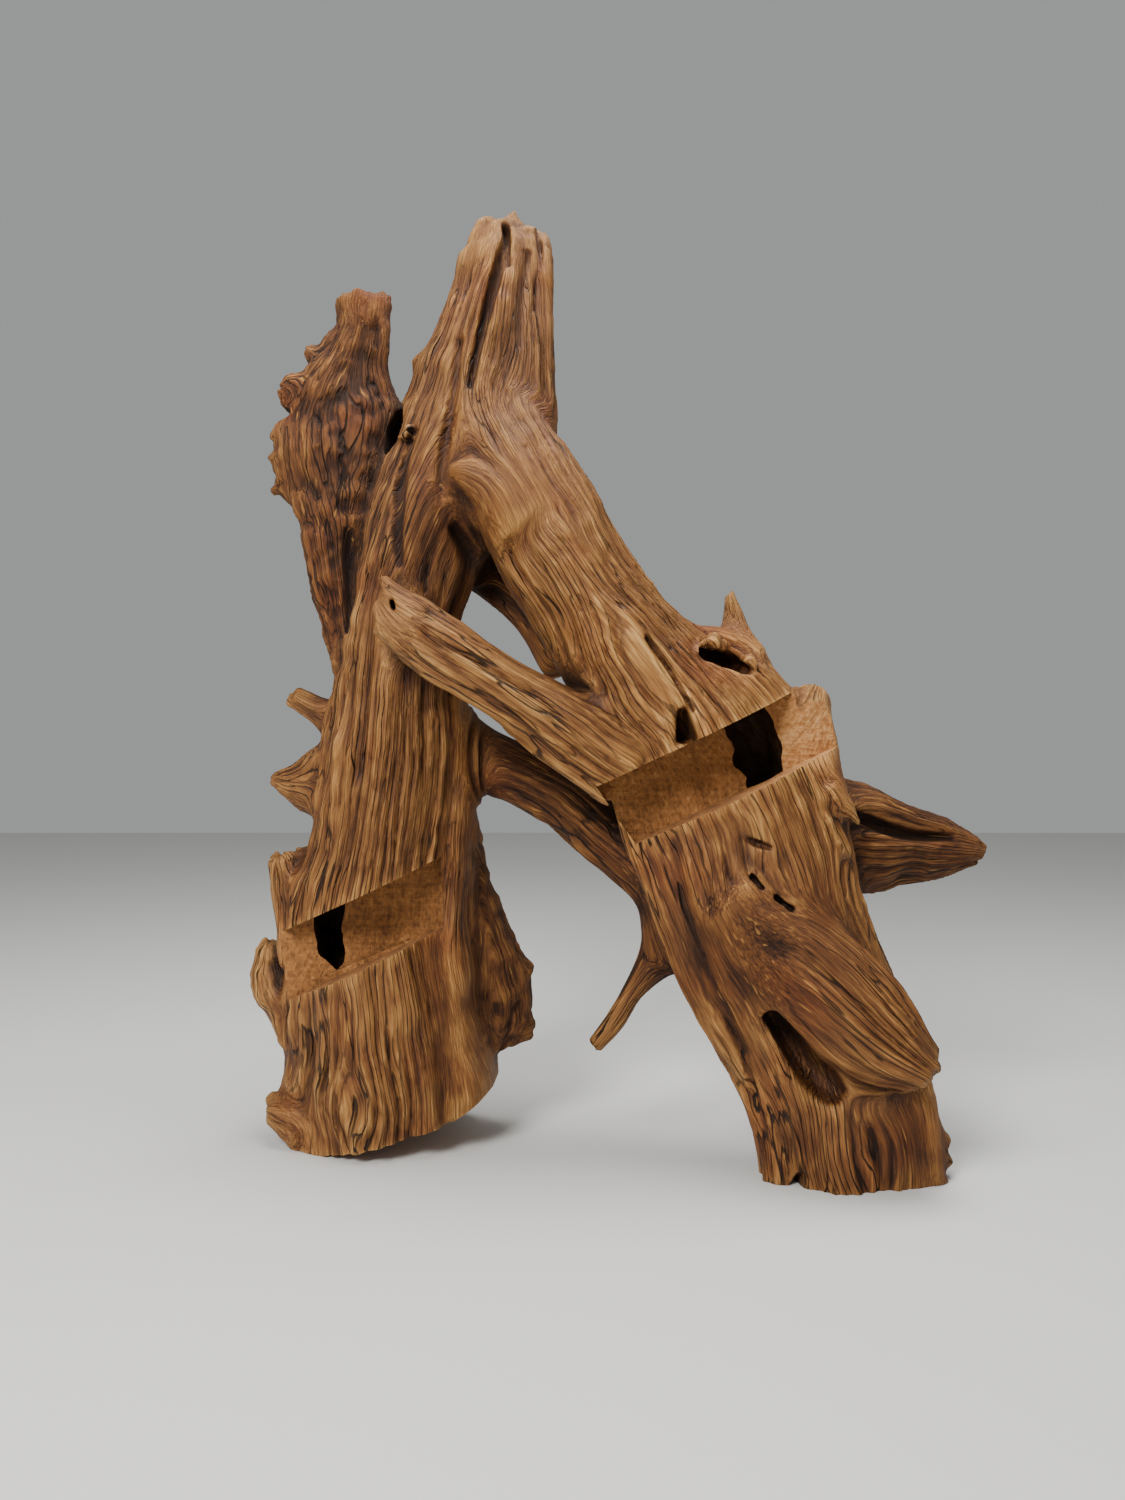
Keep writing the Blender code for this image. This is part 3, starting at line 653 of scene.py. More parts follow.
@dataclass(frozen=True)
class Relief:
    """The weathered wood's relief: sizes in metres, across and along the grain."""

    flute_size: tuple = (0.042, 0.042, 0.420)
    burl_size: float = 0.060
    edge_size: float = 0.022
    wander_size: float = 0.160
    wander: float = 0.006
    groove_size: tuple = (0.026, 0.026, 0.600)
    groove_patch: float = 0.13
    groove_depth: float = 0.0085
    split_size: tuple = (0.034, 0.034, 0.400)
    split_patch: float = 0.17
    split_depth: float = 0.012
    rag_size: float = 0.012
    rag: float = 0.35
    splinter_size: tuple = (0.012, 0.012, 0.120)
    splinter: float = 0.012
    ring: float = 0.0068
    ring_drift: float = 0.013
    drift_size: tuple = (0.045, 0.045, 0.550)
    fine_drift_size: tuple = (0.018, 0.018, 0.220)
    speck_size: float = 0.030
    rib: float = 2.0
    rib_depth: float = 0.0080
    # A limb with flutes this deep shows its grain in full; burls this high hide the ribs.
    full_flute: float = 0.005
    full_burl: float = 0.007
    # Burls up to this height stay smooth, without rags.
    smooth_burl: float = 0.002

    def wandered(self, points: Array, grain: Array) -> Array:
        """The grain with its lines made to wander sideways.

        Args:
            points: One point a row.
            grain: The grain there.

        Returns:
            The wandering grain.
        """
        shift = np.column_stack([
            lattice_noise(points / self.wander_size, Seed.WANDER_ACROSS),
            lattice_noise(points / self.wander_size, Seed.WANDER_DEEP),
        ])
        return grain + np.column_stack([shift * self.wander, np.zeros(len(points))])

    def broad(self, points: Array, read: Reading) -> Array:
        """The flutes and burls that the solid has too.

        Args:
            points: One point a row.
            read: What the form says there.

        Returns:
            How high the skin stands.
        """
        stretched = read.grain / self.flute_size
        flutes = lattice_noise(stretched, Seed.FLUTE)
        flutes = flutes + 0.5 * lattice_noise(stretched * 2.1, Seed.FLUTE_FINE)
        burls = lattice_noise(points / self.burl_size, Seed.BURL)
        burls += 0.5 * lattice_noise(points / self.edge_size, Seed.BURL_FINE)
        return read.flute * flutes + read.burl * burls

    def split(self, points: Array, grain: Array) -> Array:
        """Long splits where the wood opened along the grain.

        Args:
            points: One point a row.
            grain: The grain there.

        Returns:
            1 in the middle of a split, 0 away from one.
        """
        patches = lattice_noise(points / self.split_patch + 5.0, Seed.SPLIT_PATCH)
        off = np.abs(lattice_noise(grain / self.split_size, Seed.SPLIT)) / 0.20
        return np.clip(2.2 * patches, 0.0, 1.0) * np.clip(1.0 - off, 0.0, 1.0) ** 1.3

    def rings(self, points: Array, grain: Array) -> Array:
        """Which year ring the skin shows.

        Args:
            points: One point a row.
            grain: The grain there.

        Returns:
            The ring's number at each point, with its fraction.
        """
        drift = lattice_noise(grain / self.drift_size, Seed.RING_DRIFT)
        drift += 0.4 * lattice_noise(grain / self.fine_drift_size, Seed.RING_FINE)
        drift += 0.15 * lattice_noise(points / self.speck_size, Seed.RING_SPECK)
        phase = (grain[:, 0] + 0.55 * grain[:, 1] + self.ring_drift * drift) / self.ring
        for knot in KNOTS:
            apart = ((points - [knot.x, knot.y, knot.z]) ** 2).sum(1)
            weight = np.exp(-apart / knot.reach ** 2)
            if weight.max() > KNOT_CUTOFF:
                middle = np.average(grain[:, 2], weights=weight ** 4)
                apart -= 0.8 * np.minimum((grain[:, 2] - middle) ** 2, apart)
                phase += knot.rings * np.exp(-apart / (0.6 * knot.reach) ** 2)
        return phase

    def fine(self, points: Array, read: Reading, grain: Array) -> Array:
        """The grooves and splits along the grain, rags, and splinters at broken ends.

        Args:
            points: One point a row.
            read: What the form says there.
            grain: The wandering grain there.

        Returns:
            How high the skin stands.
        """
        wide = grain / self.groove_size
        patches = lattice_noise(points / self.groove_patch, Seed.GROOVE_PATCH)
        patches = np.clip(0.65 + 0.9 * patches, 0.25, 1.0)
        grooves = lattice_noise(wide, Seed.GROOVE)
        grooves = 1.0 - np.abs(grooves + 0.4 * lattice_noise(wide * 2.3, Seed.GROOVE_FINE))
        grooves = np.clip(grooves, 0.0, 1.0) ** 2.5
        bare = np.clip(read.flute / self.full_flute, 0.2, 1.0) * read.calm
        depth = bare * self.groove_depth * patches * (grooves - 0.40)
        depth += self.split_depth * self.split(points, grain) * bare
        ribs = 0.5 + 0.5 * np.cos(2 * math.pi * self.rings(points, grain) / self.rib)
        straight = np.clip(1.4 - read.burl / self.full_burl, 0.15, 1.0)
        depth += self.rib_depth * bare * straight * (1.35 - patches) * (ribs ** 1.5 - 0.4)
        splinters = lattice_noise(grain / self.splinter_size, Seed.SPLINTER)
        torn = np.clip(read.burl / self.smooth_burl, 0.0, 1.0)
        height = self.splinter * splinters * read.end * torn
        rags = 1.0 - 2.0 * np.abs(lattice_noise(points / self.rag_size, Seed.RAG))
        height += self.rag * np.maximum(read.burl - self.smooth_burl, 0.0) * rags
        return height - depth


@dataclass
class RootForm:
    """The whole form: how far a point lies outside it, and the grain there."""

    spines: list[Spine] = field(default_factory=lambda: grown(LIMBS + SLIVERS + TWIGS))
    hollows: list[Spine] = field(default_factory=lambda: hollowed(HOLLOWS | PITS))
    rifts: list[Spine] = field(default_factory=lambda: hollowed(RIFTS))
    relief: Relief = Relief()
    knot_pull: float = 0.55
    calm_spread: float = 0.018
    hollow_margin: float = 0.06
    deepest: float = 0.15
    # The mean radii from which a hollow is rough and its rim round in full.
    full_rough: float = 0.050
    full_rim: float = 0.030
    # How high and how wide the roughness in a hollow is.
    rough_fine: tuple = (0.0020, 0.015)
    rough_broad: tuple = (0.0040, 0.034)

    def read(self, points: Array) -> Reading:
        """Reads the plain form, before any relief.

        Args:
            points: One point a row.

        Returns:
            What the form says about each point.
        """
        count = len(points)
        total = np.zeros(count)
        sums = np.zeros((count, 7))
        squares = np.zeros(count)
        for spine in self.spines:
            inside = spine.near(points, BOUND_MARGIN)
            if not inside.any():
                continue
            probe = spine.measure(points[inside])
            reach = np.clip(probe.distance, -self.deepest, self.deepest)
            weight = np.exp(-reach / FILLET)
            total[inside] += weight
            limb = spine.limb
            kinds = np.full((len(weight), 3), [limb.flute, limb.burl, limb.tone])
            row = np.column_stack([probe.grain, kinds, probe.end])
            sums[inside] += weight[:, None] * row
            squares[inside] += weight * (probe.grain[:, :2] ** 2).sum(1)
        total = np.maximum(total, 1e-12)
        mean = sums / total[:, None]
        spread = np.maximum(squares / total - (mean[:, :2] ** 2).sum(1), 0.0)
        grain = self.round_knots(points, mean[:, :3])
        calm = np.exp(-spread / self.calm_spread ** 2)
        return Reading(-FILLET * np.log(total), grain, *mean[:, 3:].T, calm)

    def round_knots(self, points: Array, grain: Array) -> Array:
        """The grain with its lines spread round each knot.

        Args:
            points: One point a row.
            grain: The grain there.

        Returns:
            The spread grain.
        """
        grain = grain.copy()
        for knot in KNOTS:
            weight = knot.weight(points)
            close = weight > KNOT_CUTOFF
            if close.any():
                middle = np.average(grain[close], axis=0, weights=weight[close] ** 4)
                pull = self.knot_pull * weight[close, None]
                grain[close, :2] += (middle[:2] - grain[close, :2]) * pull
        return grain

    def outside(self, points: Array, fine: bool) -> Array:
        """Measures from the finished skin, hollows and relief included.

        Args:
            points: One point a row.
            fine: Whether the fine relief counts too.

        Returns:
            How far each point lies outside the skin.
        """
        read = self.read(points)
        distance = read.distance - self.relief.broad(points, read)
        for knot in KNOTS:
            distance -= knot.swell * knot.weight(points)
        if fine:
            grain = self.relief.wandered(points, read.grain)
            distance -= self.relief.fine(points, read, grain)
        for hollow in self.hollows:
            near = hollow.near(points, self.hollow_margin)
            if not near.any():
                continue
            cut = hollow.measure(points[near]).distance
            rough = min(1.0, hollow.mean_radius / self.full_rough)
            for (high, wide), seed in ((self.rough_fine, Seed.HOLLOW_FINE),
                                       (self.rough_broad, Seed.HOLLOW_BROAD)):
                cut += high * rough * lattice_noise(points[near] / wide, seed)
            rim = HOLLOW_FILLET * min(1.0, hollow.mean_radius / self.full_rim)
            distance[near] = rim * np.logaddexp(distance[near] / rim, -cut / rim)
        return distance


def pick(obj: bpy.types.Object) -> None:
    """Makes the object the only one selected, and active.

    Args:
        obj: The object.
    """
    bpy.ops.object.select_all(action="DESELECT")
    obj.select_set(True)
    bpy.context.view_layer.objects.active = obj


def finish_modifier(obj: bpy.types.Object, kind: str, **settings: object) -> None:
    """Adds a modifier to the object and applies it.

    Args:
        obj: The object.
        kind: The modifier's type.
        settings: The modifier's values.
    """
    pick(obj)
    bpy.ops.object.modifier_add(type=kind)
    modifier = obj.modifiers[-1]
    for key, value in settings.items():
        setattr(modifier, key, value)
    bpy.ops.object.modifier_apply(modifier=modifier.name)


def place_in_scene(name: str, data: bpy.types.ID) -> bpy.types.Object:
    """An object in the scene with the given mesh, lamp or camera.

    Args:
        name: The object's name.
        data: What it shows.

    Returns:
        The object.
    """
    obj = bpy.data.objects.new(name, data)
    bpy.context.scene.collection.objects.link(obj)
    return obj


def loft(name: str, spines: Sequence[Spine]) -> bpy.types.Object:
    """An object with every spine's rings, skinned and capped.

    Args:
        name: The object's name.
        spines: The limbs to skin.

    Returns:
        The object, one closed shell for each limb.
    """
    sides = FINE.ring_sides
    angles = 2 * math.pi * np.arange(sides) / sides
    points: list[Array] = []
    faces: list[tuple[int, ...]] = []
    for spine in spines:
        first = len(points)
        for k in range(len(spine.centre)):
            points.extend(
                spine.centre[k]
                + np.outer(np.cos(angles) * spine.half_width[k], spine.side[k])
                + np.outer(np.sin(angles) * spine.half_depth[k], spine.depth[k])
            )
        for k in range(len(spine.centre) - 1):
            low = first + k * sides
            for i in range(sides):
                j = (i + 1) % sides
                faces.append((low + i, low + j, low + sides + j, low + sides + i))
        faces.append(tuple(range(first + sides - 1, first - 1, -1)))
        last = len(points) - sides
        faces.append(tuple(range(last, last + sides)))
    mesh = bpy.data.meshes.new(name)
    mesh.from_pydata([tuple(p) for p in points], [], faces)
    return place_in_scene(name, mesh)


def read_points(mesh: bpy.types.Mesh, key: str = "co") -> Array:
    """Reads the mesh's points.

    Args:
        mesh: The mesh.
        key: "co" for the points' places, "normal" for their normals.

    Returns:
        One point a row.
    """
    values = np.empty(len(mesh.vertices) * 3)
    mesh.vertices.foreach_get(key, values)
    return values.reshape(-1, 3)


def read_edges(mesh: bpy.types.Mesh) -> Array:
    """Reads the mesh's edges.

    Args:
        mesh: The mesh.

    Returns:
        The numbers of both points of every edge, one after another.
    """
    edges = np.empty(len(mesh.edges) * 2, np.int32)
    mesh.edges.foreach_get("vertices", edges)
    return edges


def store(mesh: bpy.types.Mesh, name: str, values: Array) -> None:
    """Keeps values on the mesh's points.

    Args:
        mesh: The mesh.
        name: The attribute's name.
        values: One number or one vector a point.
    """
    kind, key = ("FLOAT", "value") if values.ndim == 1 else ("FLOAT_VECTOR", "vector")
    attribute = mesh.attributes.new(name, kind, "POINT")
    attribute.data.foreach_set(key, values.astype(np.float32).ravel())


class Slot(Enum):
    """The material slots of the skin."""

    WEATHERED = 0
    SAWN = 1


def srgb(colour: str) -> tuple[float, float, float, float]:
    """Turns an sRGB colour linear.

    Args:
        colour: The colour as "#rrggbb".

    Returns:
        Its linear red, green and blue, and full alpha.
    """
    channels = [int(colour[i:i + 2], 16) / 255 for i in (1, 3, 5)]
    linear = [c / 12.92 if c <= 0.04045 else ((c + 0.055) / 1.055) ** 2.4 for c in channels]
    return (linear[0], linear[1], linear[2], 1.0)


def add_node(tree: bpy.types.NodeTree, kind: str, inputs: dict, output: str = "",
             stops: Sequence[tuple[float, str]] = (), **settings: object
             ) -> bpy.types.NodeSocket:
    """Adds a node with its settings and links.

    Args:
        tree: The node tree.
        kind: The node's type, without the "ShaderNode" before it.
        inputs: For each input, a value or the socket that feeds it.
        output: The output that is wanted, if not the first.
        stops: A colour ramp's stops, each with its place and sRGB colour.
        settings: Values for the node's own properties.

    Returns:
        The wanted output.
    """
    node = tree.nodes.new("ShaderNode" + kind)
    for key, value in settings.items():
        setattr(node, key, value)
    for key, value in inputs.items():
        if isinstance(value, bpy.types.NodeSocket):
            tree.links.new(value, node.inputs[key])
        else:
            node.inputs[key].default_value = value
    for number, (place, colour) in enumerate(stops):
        marks = node.color_ramp.elements
        mark = marks[number] if number < len(marks) else marks.new(place)
        mark.position = place
        mark.color = srgb(colour)
    return node.outputs[output] if output else next(o for o in node.outputs if o.enabled)


def weigh(tree: bpy.types.NodeTree, parts: Iterable[tuple[float, bpy.types.NodeSocket]],
          base: float = 0.0) -> bpy.types.NodeSocket:
    """Sums patterns, each with its weight.

    Args:
        tree: The node tree.
        parts: Each pattern's weight and the pattern.
        base: What the sum starts from.

    Returns:
        The sum.
    """
    total = base
    for weight, part in parts:
        total = add_node(tree, "Math", {0: part, 1: weight, 2: total},
                         operation="MULTIPLY_ADD")
    return total


def multiply(tree: bpy.types.NodeTree, *parts: bpy.types.NodeSocket) -> bpy.types.NodeSocket:
    """Patterns multiplied together, so that each one thins out the others.

    Args:
        tree: The node tree.
        parts: The patterns.

    Returns:
        Their product.
    """
    total = parts[0]
    for part in parts[1:]:
        total = add_node(tree, "Math", {0: total, 1: part}, operation="MULTIPLY")
    return total


def new_material(name: str) -> tuple[bpy.types.Material, bpy.types.NodeTree, bpy.types.Node]:
    """Starts a material.

    Args:
        name: The material's name.

    Returns:
        The material, its node tree and its Principled shader.
    """
    material = bpy.data.materials.new(name)
    material.use_nodes = True
    tree = material.node_tree
    return material, tree, tree.nodes["Principled BSDF"]


@dataclass(frozen=True)
class GrainPattern:
    """Noise drawn out along the grain, with its sizes across and along it in metres."""

    width: float
    length: float
    detail: float
    shift: float = 0.0
    roughness: float = 0.62

    def draw(self, tree: bpy.types.NodeTree,
             grain: bpy.types.NodeSocket) -> bpy.types.NodeSocket:
        """Adds the pattern to a material.

        Args:
            tree: The node tree.
            grain: The grain coordinates.

        Returns:
            The pattern, from 0 to 1.
        """
        place = add_node(tree, "Mapping", {
            "Vector": grain, "Location": (self.shift,) * 3,
            "Scale": (1 / self.width, 1 / self.width, 1 / self.length)})
        return add_node(tree, "TexNoise", {
            "Vector": place, "Scale": 1.0, "Detail": self.detail,
            "Roughness": self.roughness})


@dataclass(frozen=True)
class WeatheredWood:
    """Dry root wood, washed bare by weather and oiled.

    Soft wood has worn away between the harder year rings, which leaves long grooves under a
    thin satin oil. They are dark at the bottom, partly the year rings' lines and partly painted
    shade, and golden on their edges, partly wear and partly painted highlight.
    """

    deep: str = "#120601"
    dark: str = "#391e0b"
    middle: str = "#643c1b"
    light: str = "#8c5f2f"
    pale: str = "#c09256"
    red: str = "#d8743c"
    gold: str = "#c8904a"
    # Bands of growth are about 30 mm wide, and the bundles of fibres in them 7.5 mm.
    streaks: GrainPattern = GrainPattern(0.030, 0.40, 3.0)
    threads: GrainPattern = GrainPattern(0.0075, 0.16, 2.0, 2.2)
    # Real fibres are finer than the render shows, so they are drawn about 2 mm wide.
    fibres: GrainPattern = GrainPattern(0.0024, 0.060, 3.0, 9.1)
    # Where the dark lines of the year rings show, and where drying opened cracks.
    shown: GrainPattern = GrainPattern(0.060, 0.30, 2.0, 6.4)
    cracks: GrainPattern = GrainPattern(0.024, 0.30, 2.0, 5.3)
    opened: GrainPattern = GrainPattern(0.090, 0.30, 1.0, 8.8)
    # Splinters that came off not long ago leave golden spots 5 mm wide.
    chips: GrainPattern = GrainPattern(0.005, 0.060, 1.0, 3.6)
    crack_width: float = 0.016
    wobble: float = 0.9
    # Red patches, about 140 mm across.
    patch_scale: float = 7.0
    roughness: float = 0.58
    dry_roughness: float = 0.85
    ior: float = 1.48
    specular: float = 0.30
    relief: float = 0.0055

    def build(self) -> bpy.types.Material:
        """The material, patterned on the skin's own grain."""
        material, tree, shader = new_material("oiled_root_wood")
        grain, ring, calm, cavity_shade_and_wear, tone, occlusion_shade = (
            add_node(tree, "Attribute", {}, output, attribute_name=name)
            for name, output in (("grain", "Vector"), ("ring", "Fac"), ("calm", "Fac"),
                                 ("cavity_shade_and_wear", "Fac"), ("tone", "Fac"), ("occlusion_shade", "Fac")))
        streaks, fibres, threads = (
            pattern.draw(tree, grain) for pattern in (self.streaks, self.fibres, self.threads))
        late = self.year_lines(tree, grain, ring, threads, calm)
        crack = self.open_cracks(tree, grain, calm)
        # The cavity value paints shade into the grooves and a painted highlight onto the
        # ridges, along with dirt and wear; the tone brings painted shade and painted light in
        # places too.
        level = weigh(tree, ((0.16, streaks), (0.22, threads), (0.56, fibres),
                             (-0.13, cavity_shade_and_wear), (0.22, tone)), 0.10)
        colour = add_node(tree, "ValToRGB", {"Fac": level}, stops=(
            (0.22, self.deep), (0.38, self.dark), (0.53, self.middle), (0.68, self.light),
            (0.84, self.pale)))
        place = add_node(tree, "TexCoord", {}, "Object")
        patches = add_node(tree, "TexNoise", {
            "Vector": place, "Scale": self.patch_scale, "Detail": 3.0})
        reddish = add_node(tree, "MapRange", {
            "Value": patches, "From Min": 0.52, "From Max": 0.72, "To Max": 0.40})
        chips = add_node(tree, "MapRange", {
            "Value": self.chips.draw(tree, grain), "From Min": 0.66, "From Max": 0.74,
            "To Max": 0.35})
        lines = add_node(tree, "Math", {
            0: weigh(tree, [(0.90, late)]), 1: weigh(tree, [(0.90, crack)])},
            operation="MAXIMUM")
        # Painted shade: the colour is darkened towards deep where the skin is shut in, in its
        # hollows.
        painted_hollow_shade = add_node(tree, "MapRange", {
            "Value": occlusion_shade, "From Min": 0.30, "From Max": 0.95, "To Max": 0.82})
        red = add_node(tree, "Mix", {"Factor": 1.0, "A": colour, "B": srgb(self.red)},
                       data_type="RGBA", blend_type="MULTIPLY")
        for share, over in ((reddish, red), (chips, srgb(self.gold)),
                            (lines, srgb(self.deep)), (painted_hollow_shade, srgb(self.deep))):
            colour = add_node(tree, "Mix", {"Factor": share, "A": colour, "B": over},
                              data_type="RGBA")
        matt = add_node(tree, "MapRange", {
            "Value": tone, "From Min": -0.7, "From Max": 0.0, "To Min": self.dry_roughness,
            "To Max": self.roughness})
        height = weigh(tree, ((-0.50, late), (0.45, fibres), (0.50, threads), (-0.9, crack)))
        bump = add_node(tree, "Bump", {
            "Height": height, "Strength": 1.0, "Distance": self.relief})
        for key, socket in (("Base Color", colour), ("Roughness", matt), ("Normal", bump)):
            tree.links.new(socket, shader.inputs[key])
        shader.inputs["IOR"].default_value = self.ior
        shader.inputs["Specular IOR Level"].default_value = self.specular
        return material

    def year_lines(self, tree: bpy.types.NodeTree, grain: bpy.types.NodeSocket,
                   ring: bpy.types.NodeSocket, threads: bpy.types.NodeSocket,
                   calm: bpy.types.NodeSocket) -> bpy.types.NodeSocket:
        """The dark lines of the year rings' late wood.

        Args:
            tree: The node tree.
            grain: The grain coordinates.
            ring: Which year ring shows.
            threads: The bundles of fibres, which make the lines wobble and break.
            calm: Where the grain runs on undisturbed.

        Returns:
            1 on a line, 0 away from it.
        """
        turned = weigh(tree, [(1.0, ring), (self.wobble, threads)], -0.5 * self.wobble)
        wave = add_node(tree, "Math", {0: weigh(tree, [(2 * math.pi, turned)])},
                        operation="COSINE")
        late = add_node(tree, "MapRange", {"Value": wave, "From Min": 0.80, "From Max": 0.99},
                        interpolation_type="SMOOTHSTEP")
        shown = add_node(tree, "MapRange", {
            "Value": self.shown.draw(tree, grain), "From Min": 0.38, "From Max": 0.58,
            "To Min": 0.20})
        uneven = weigh(tree, [(1.0, threads)], 0.50)
        return multiply(tree, late, shown, uneven, calm)

    def open_cracks(self, tree: bpy.types.NodeTree, grain: bpy.types.NodeSocket,
                    calm: bpy.types.NodeSocket) -> bpy.types.NodeSocket:
        """Thin cracks that drying opened, where the noise crosses its middle.

        Args:
            tree: The node tree.
            grain: The grain coordinates.
            calm: Where the grain runs on undisturbed.

        Returns:
            1 in a crack, 0 away from it.
        """
        off = add_node(tree, "Math", {0: weigh(tree, [(1.0, self.cracks.draw(tree, grain))],
                                               -0.5)}, operation="ABSOLUTE")
        line = add_node(tree, "MapRange", {
            "Value": off, "From Max": self.crack_width, "To Min": 1.0, "To Max": 0.0},
            interpolation_type="SMOOTHSTEP")
        opened = add_node(tree, "MapRange", {
            "Value": self.opened.draw(tree, grain), "From Min": 0.40, "From Max": 0.54})
        return multiply(tree, line, opened, calm)


@dataclass(frozen=True)
class SawnWood:
    """The same wood where it was sawn: matt, fuzzy and lighter, with torn fibres."""

    dark: str = "#351a07"
    middle: str = "#6f441b"
    light: str = "#9e6833"
    pale: str = "#c4925c"
    roughness: float = 0.85
    broad: GrainPattern = GrainPattern(0.030, 0.16, 3.0, 1.3)
    # Torn fibres are about a millimetre wide, and drawn at 3.5 mm to show.
    fibres: GrainPattern = GrainPattern(0.0035, 0.020, 4.0, 7.7)
    # Saw marks run along the slab. They are drawn 6 mm apart and the fuzz 7 mm wide, both
    # coarser than they are, to show.
    mark_scale: tuple = (3.0, 3.0, 160.0)
    fuzz_scale: float = 140.0
    relief: float = 0.005

    def build(self) -> bpy.types.Material:
        """The material, patterned on the skin's grain and on the slab's slant."""
        material, tree, shader = new_material("sawn_root_wood")
        grain = add_node(tree, "Attribute", {}, "Vector", attribute_name="grain")
        tone = add_node(tree, "Attribute", {}, "Fac", attribute_name="tone")
        place = add_node(tree, "TexCoord", {}, "Object")
        broad, fibres = self.broad.draw(tree, grain), self.fibres.draw(tree, grain)
        saw = add_node(tree, "Mapping", {
            "Vector": place, "Rotation": (0.0, SLAB.slope, 0.0), "Scale": self.mark_scale})
        marks = add_node(tree, "TexNoise", {"Vector": saw, "Scale": 1.0, "Detail": 2.0})
        fuzz = add_node(tree, "TexNoise", {
            "Vector": place, "Scale": self.fuzz_scale, "Detail": 4.0})
        # The tone carries painted shade and painted light in places, as on the weathered wood.
        level = weigh(tree, ((0.35, broad), (0.35, fuzz), (0.16, tone), (0.25, fibres),
                             (0.12, marks)))
        colour = add_node(tree, "ValToRGB", {"Fac": level}, stops=(
            (0.30, self.dark), (0.45, self.middle), (0.60, self.light), (0.76, self.pale)))
        height = weigh(tree, ((1.0, fibres), (0.4, marks), (0.6, fuzz)))
        bump = add_node(tree, "Bump", {
            "Height": height, "Strength": 1.0, "Distance": self.relief})
        tree.links.new(colour, shader.inputs["Base Color"])
        tree.links.new(bump, shader.inputs["Normal"])
        shader.inputs["Roughness"].default_value = self.roughness
        return material


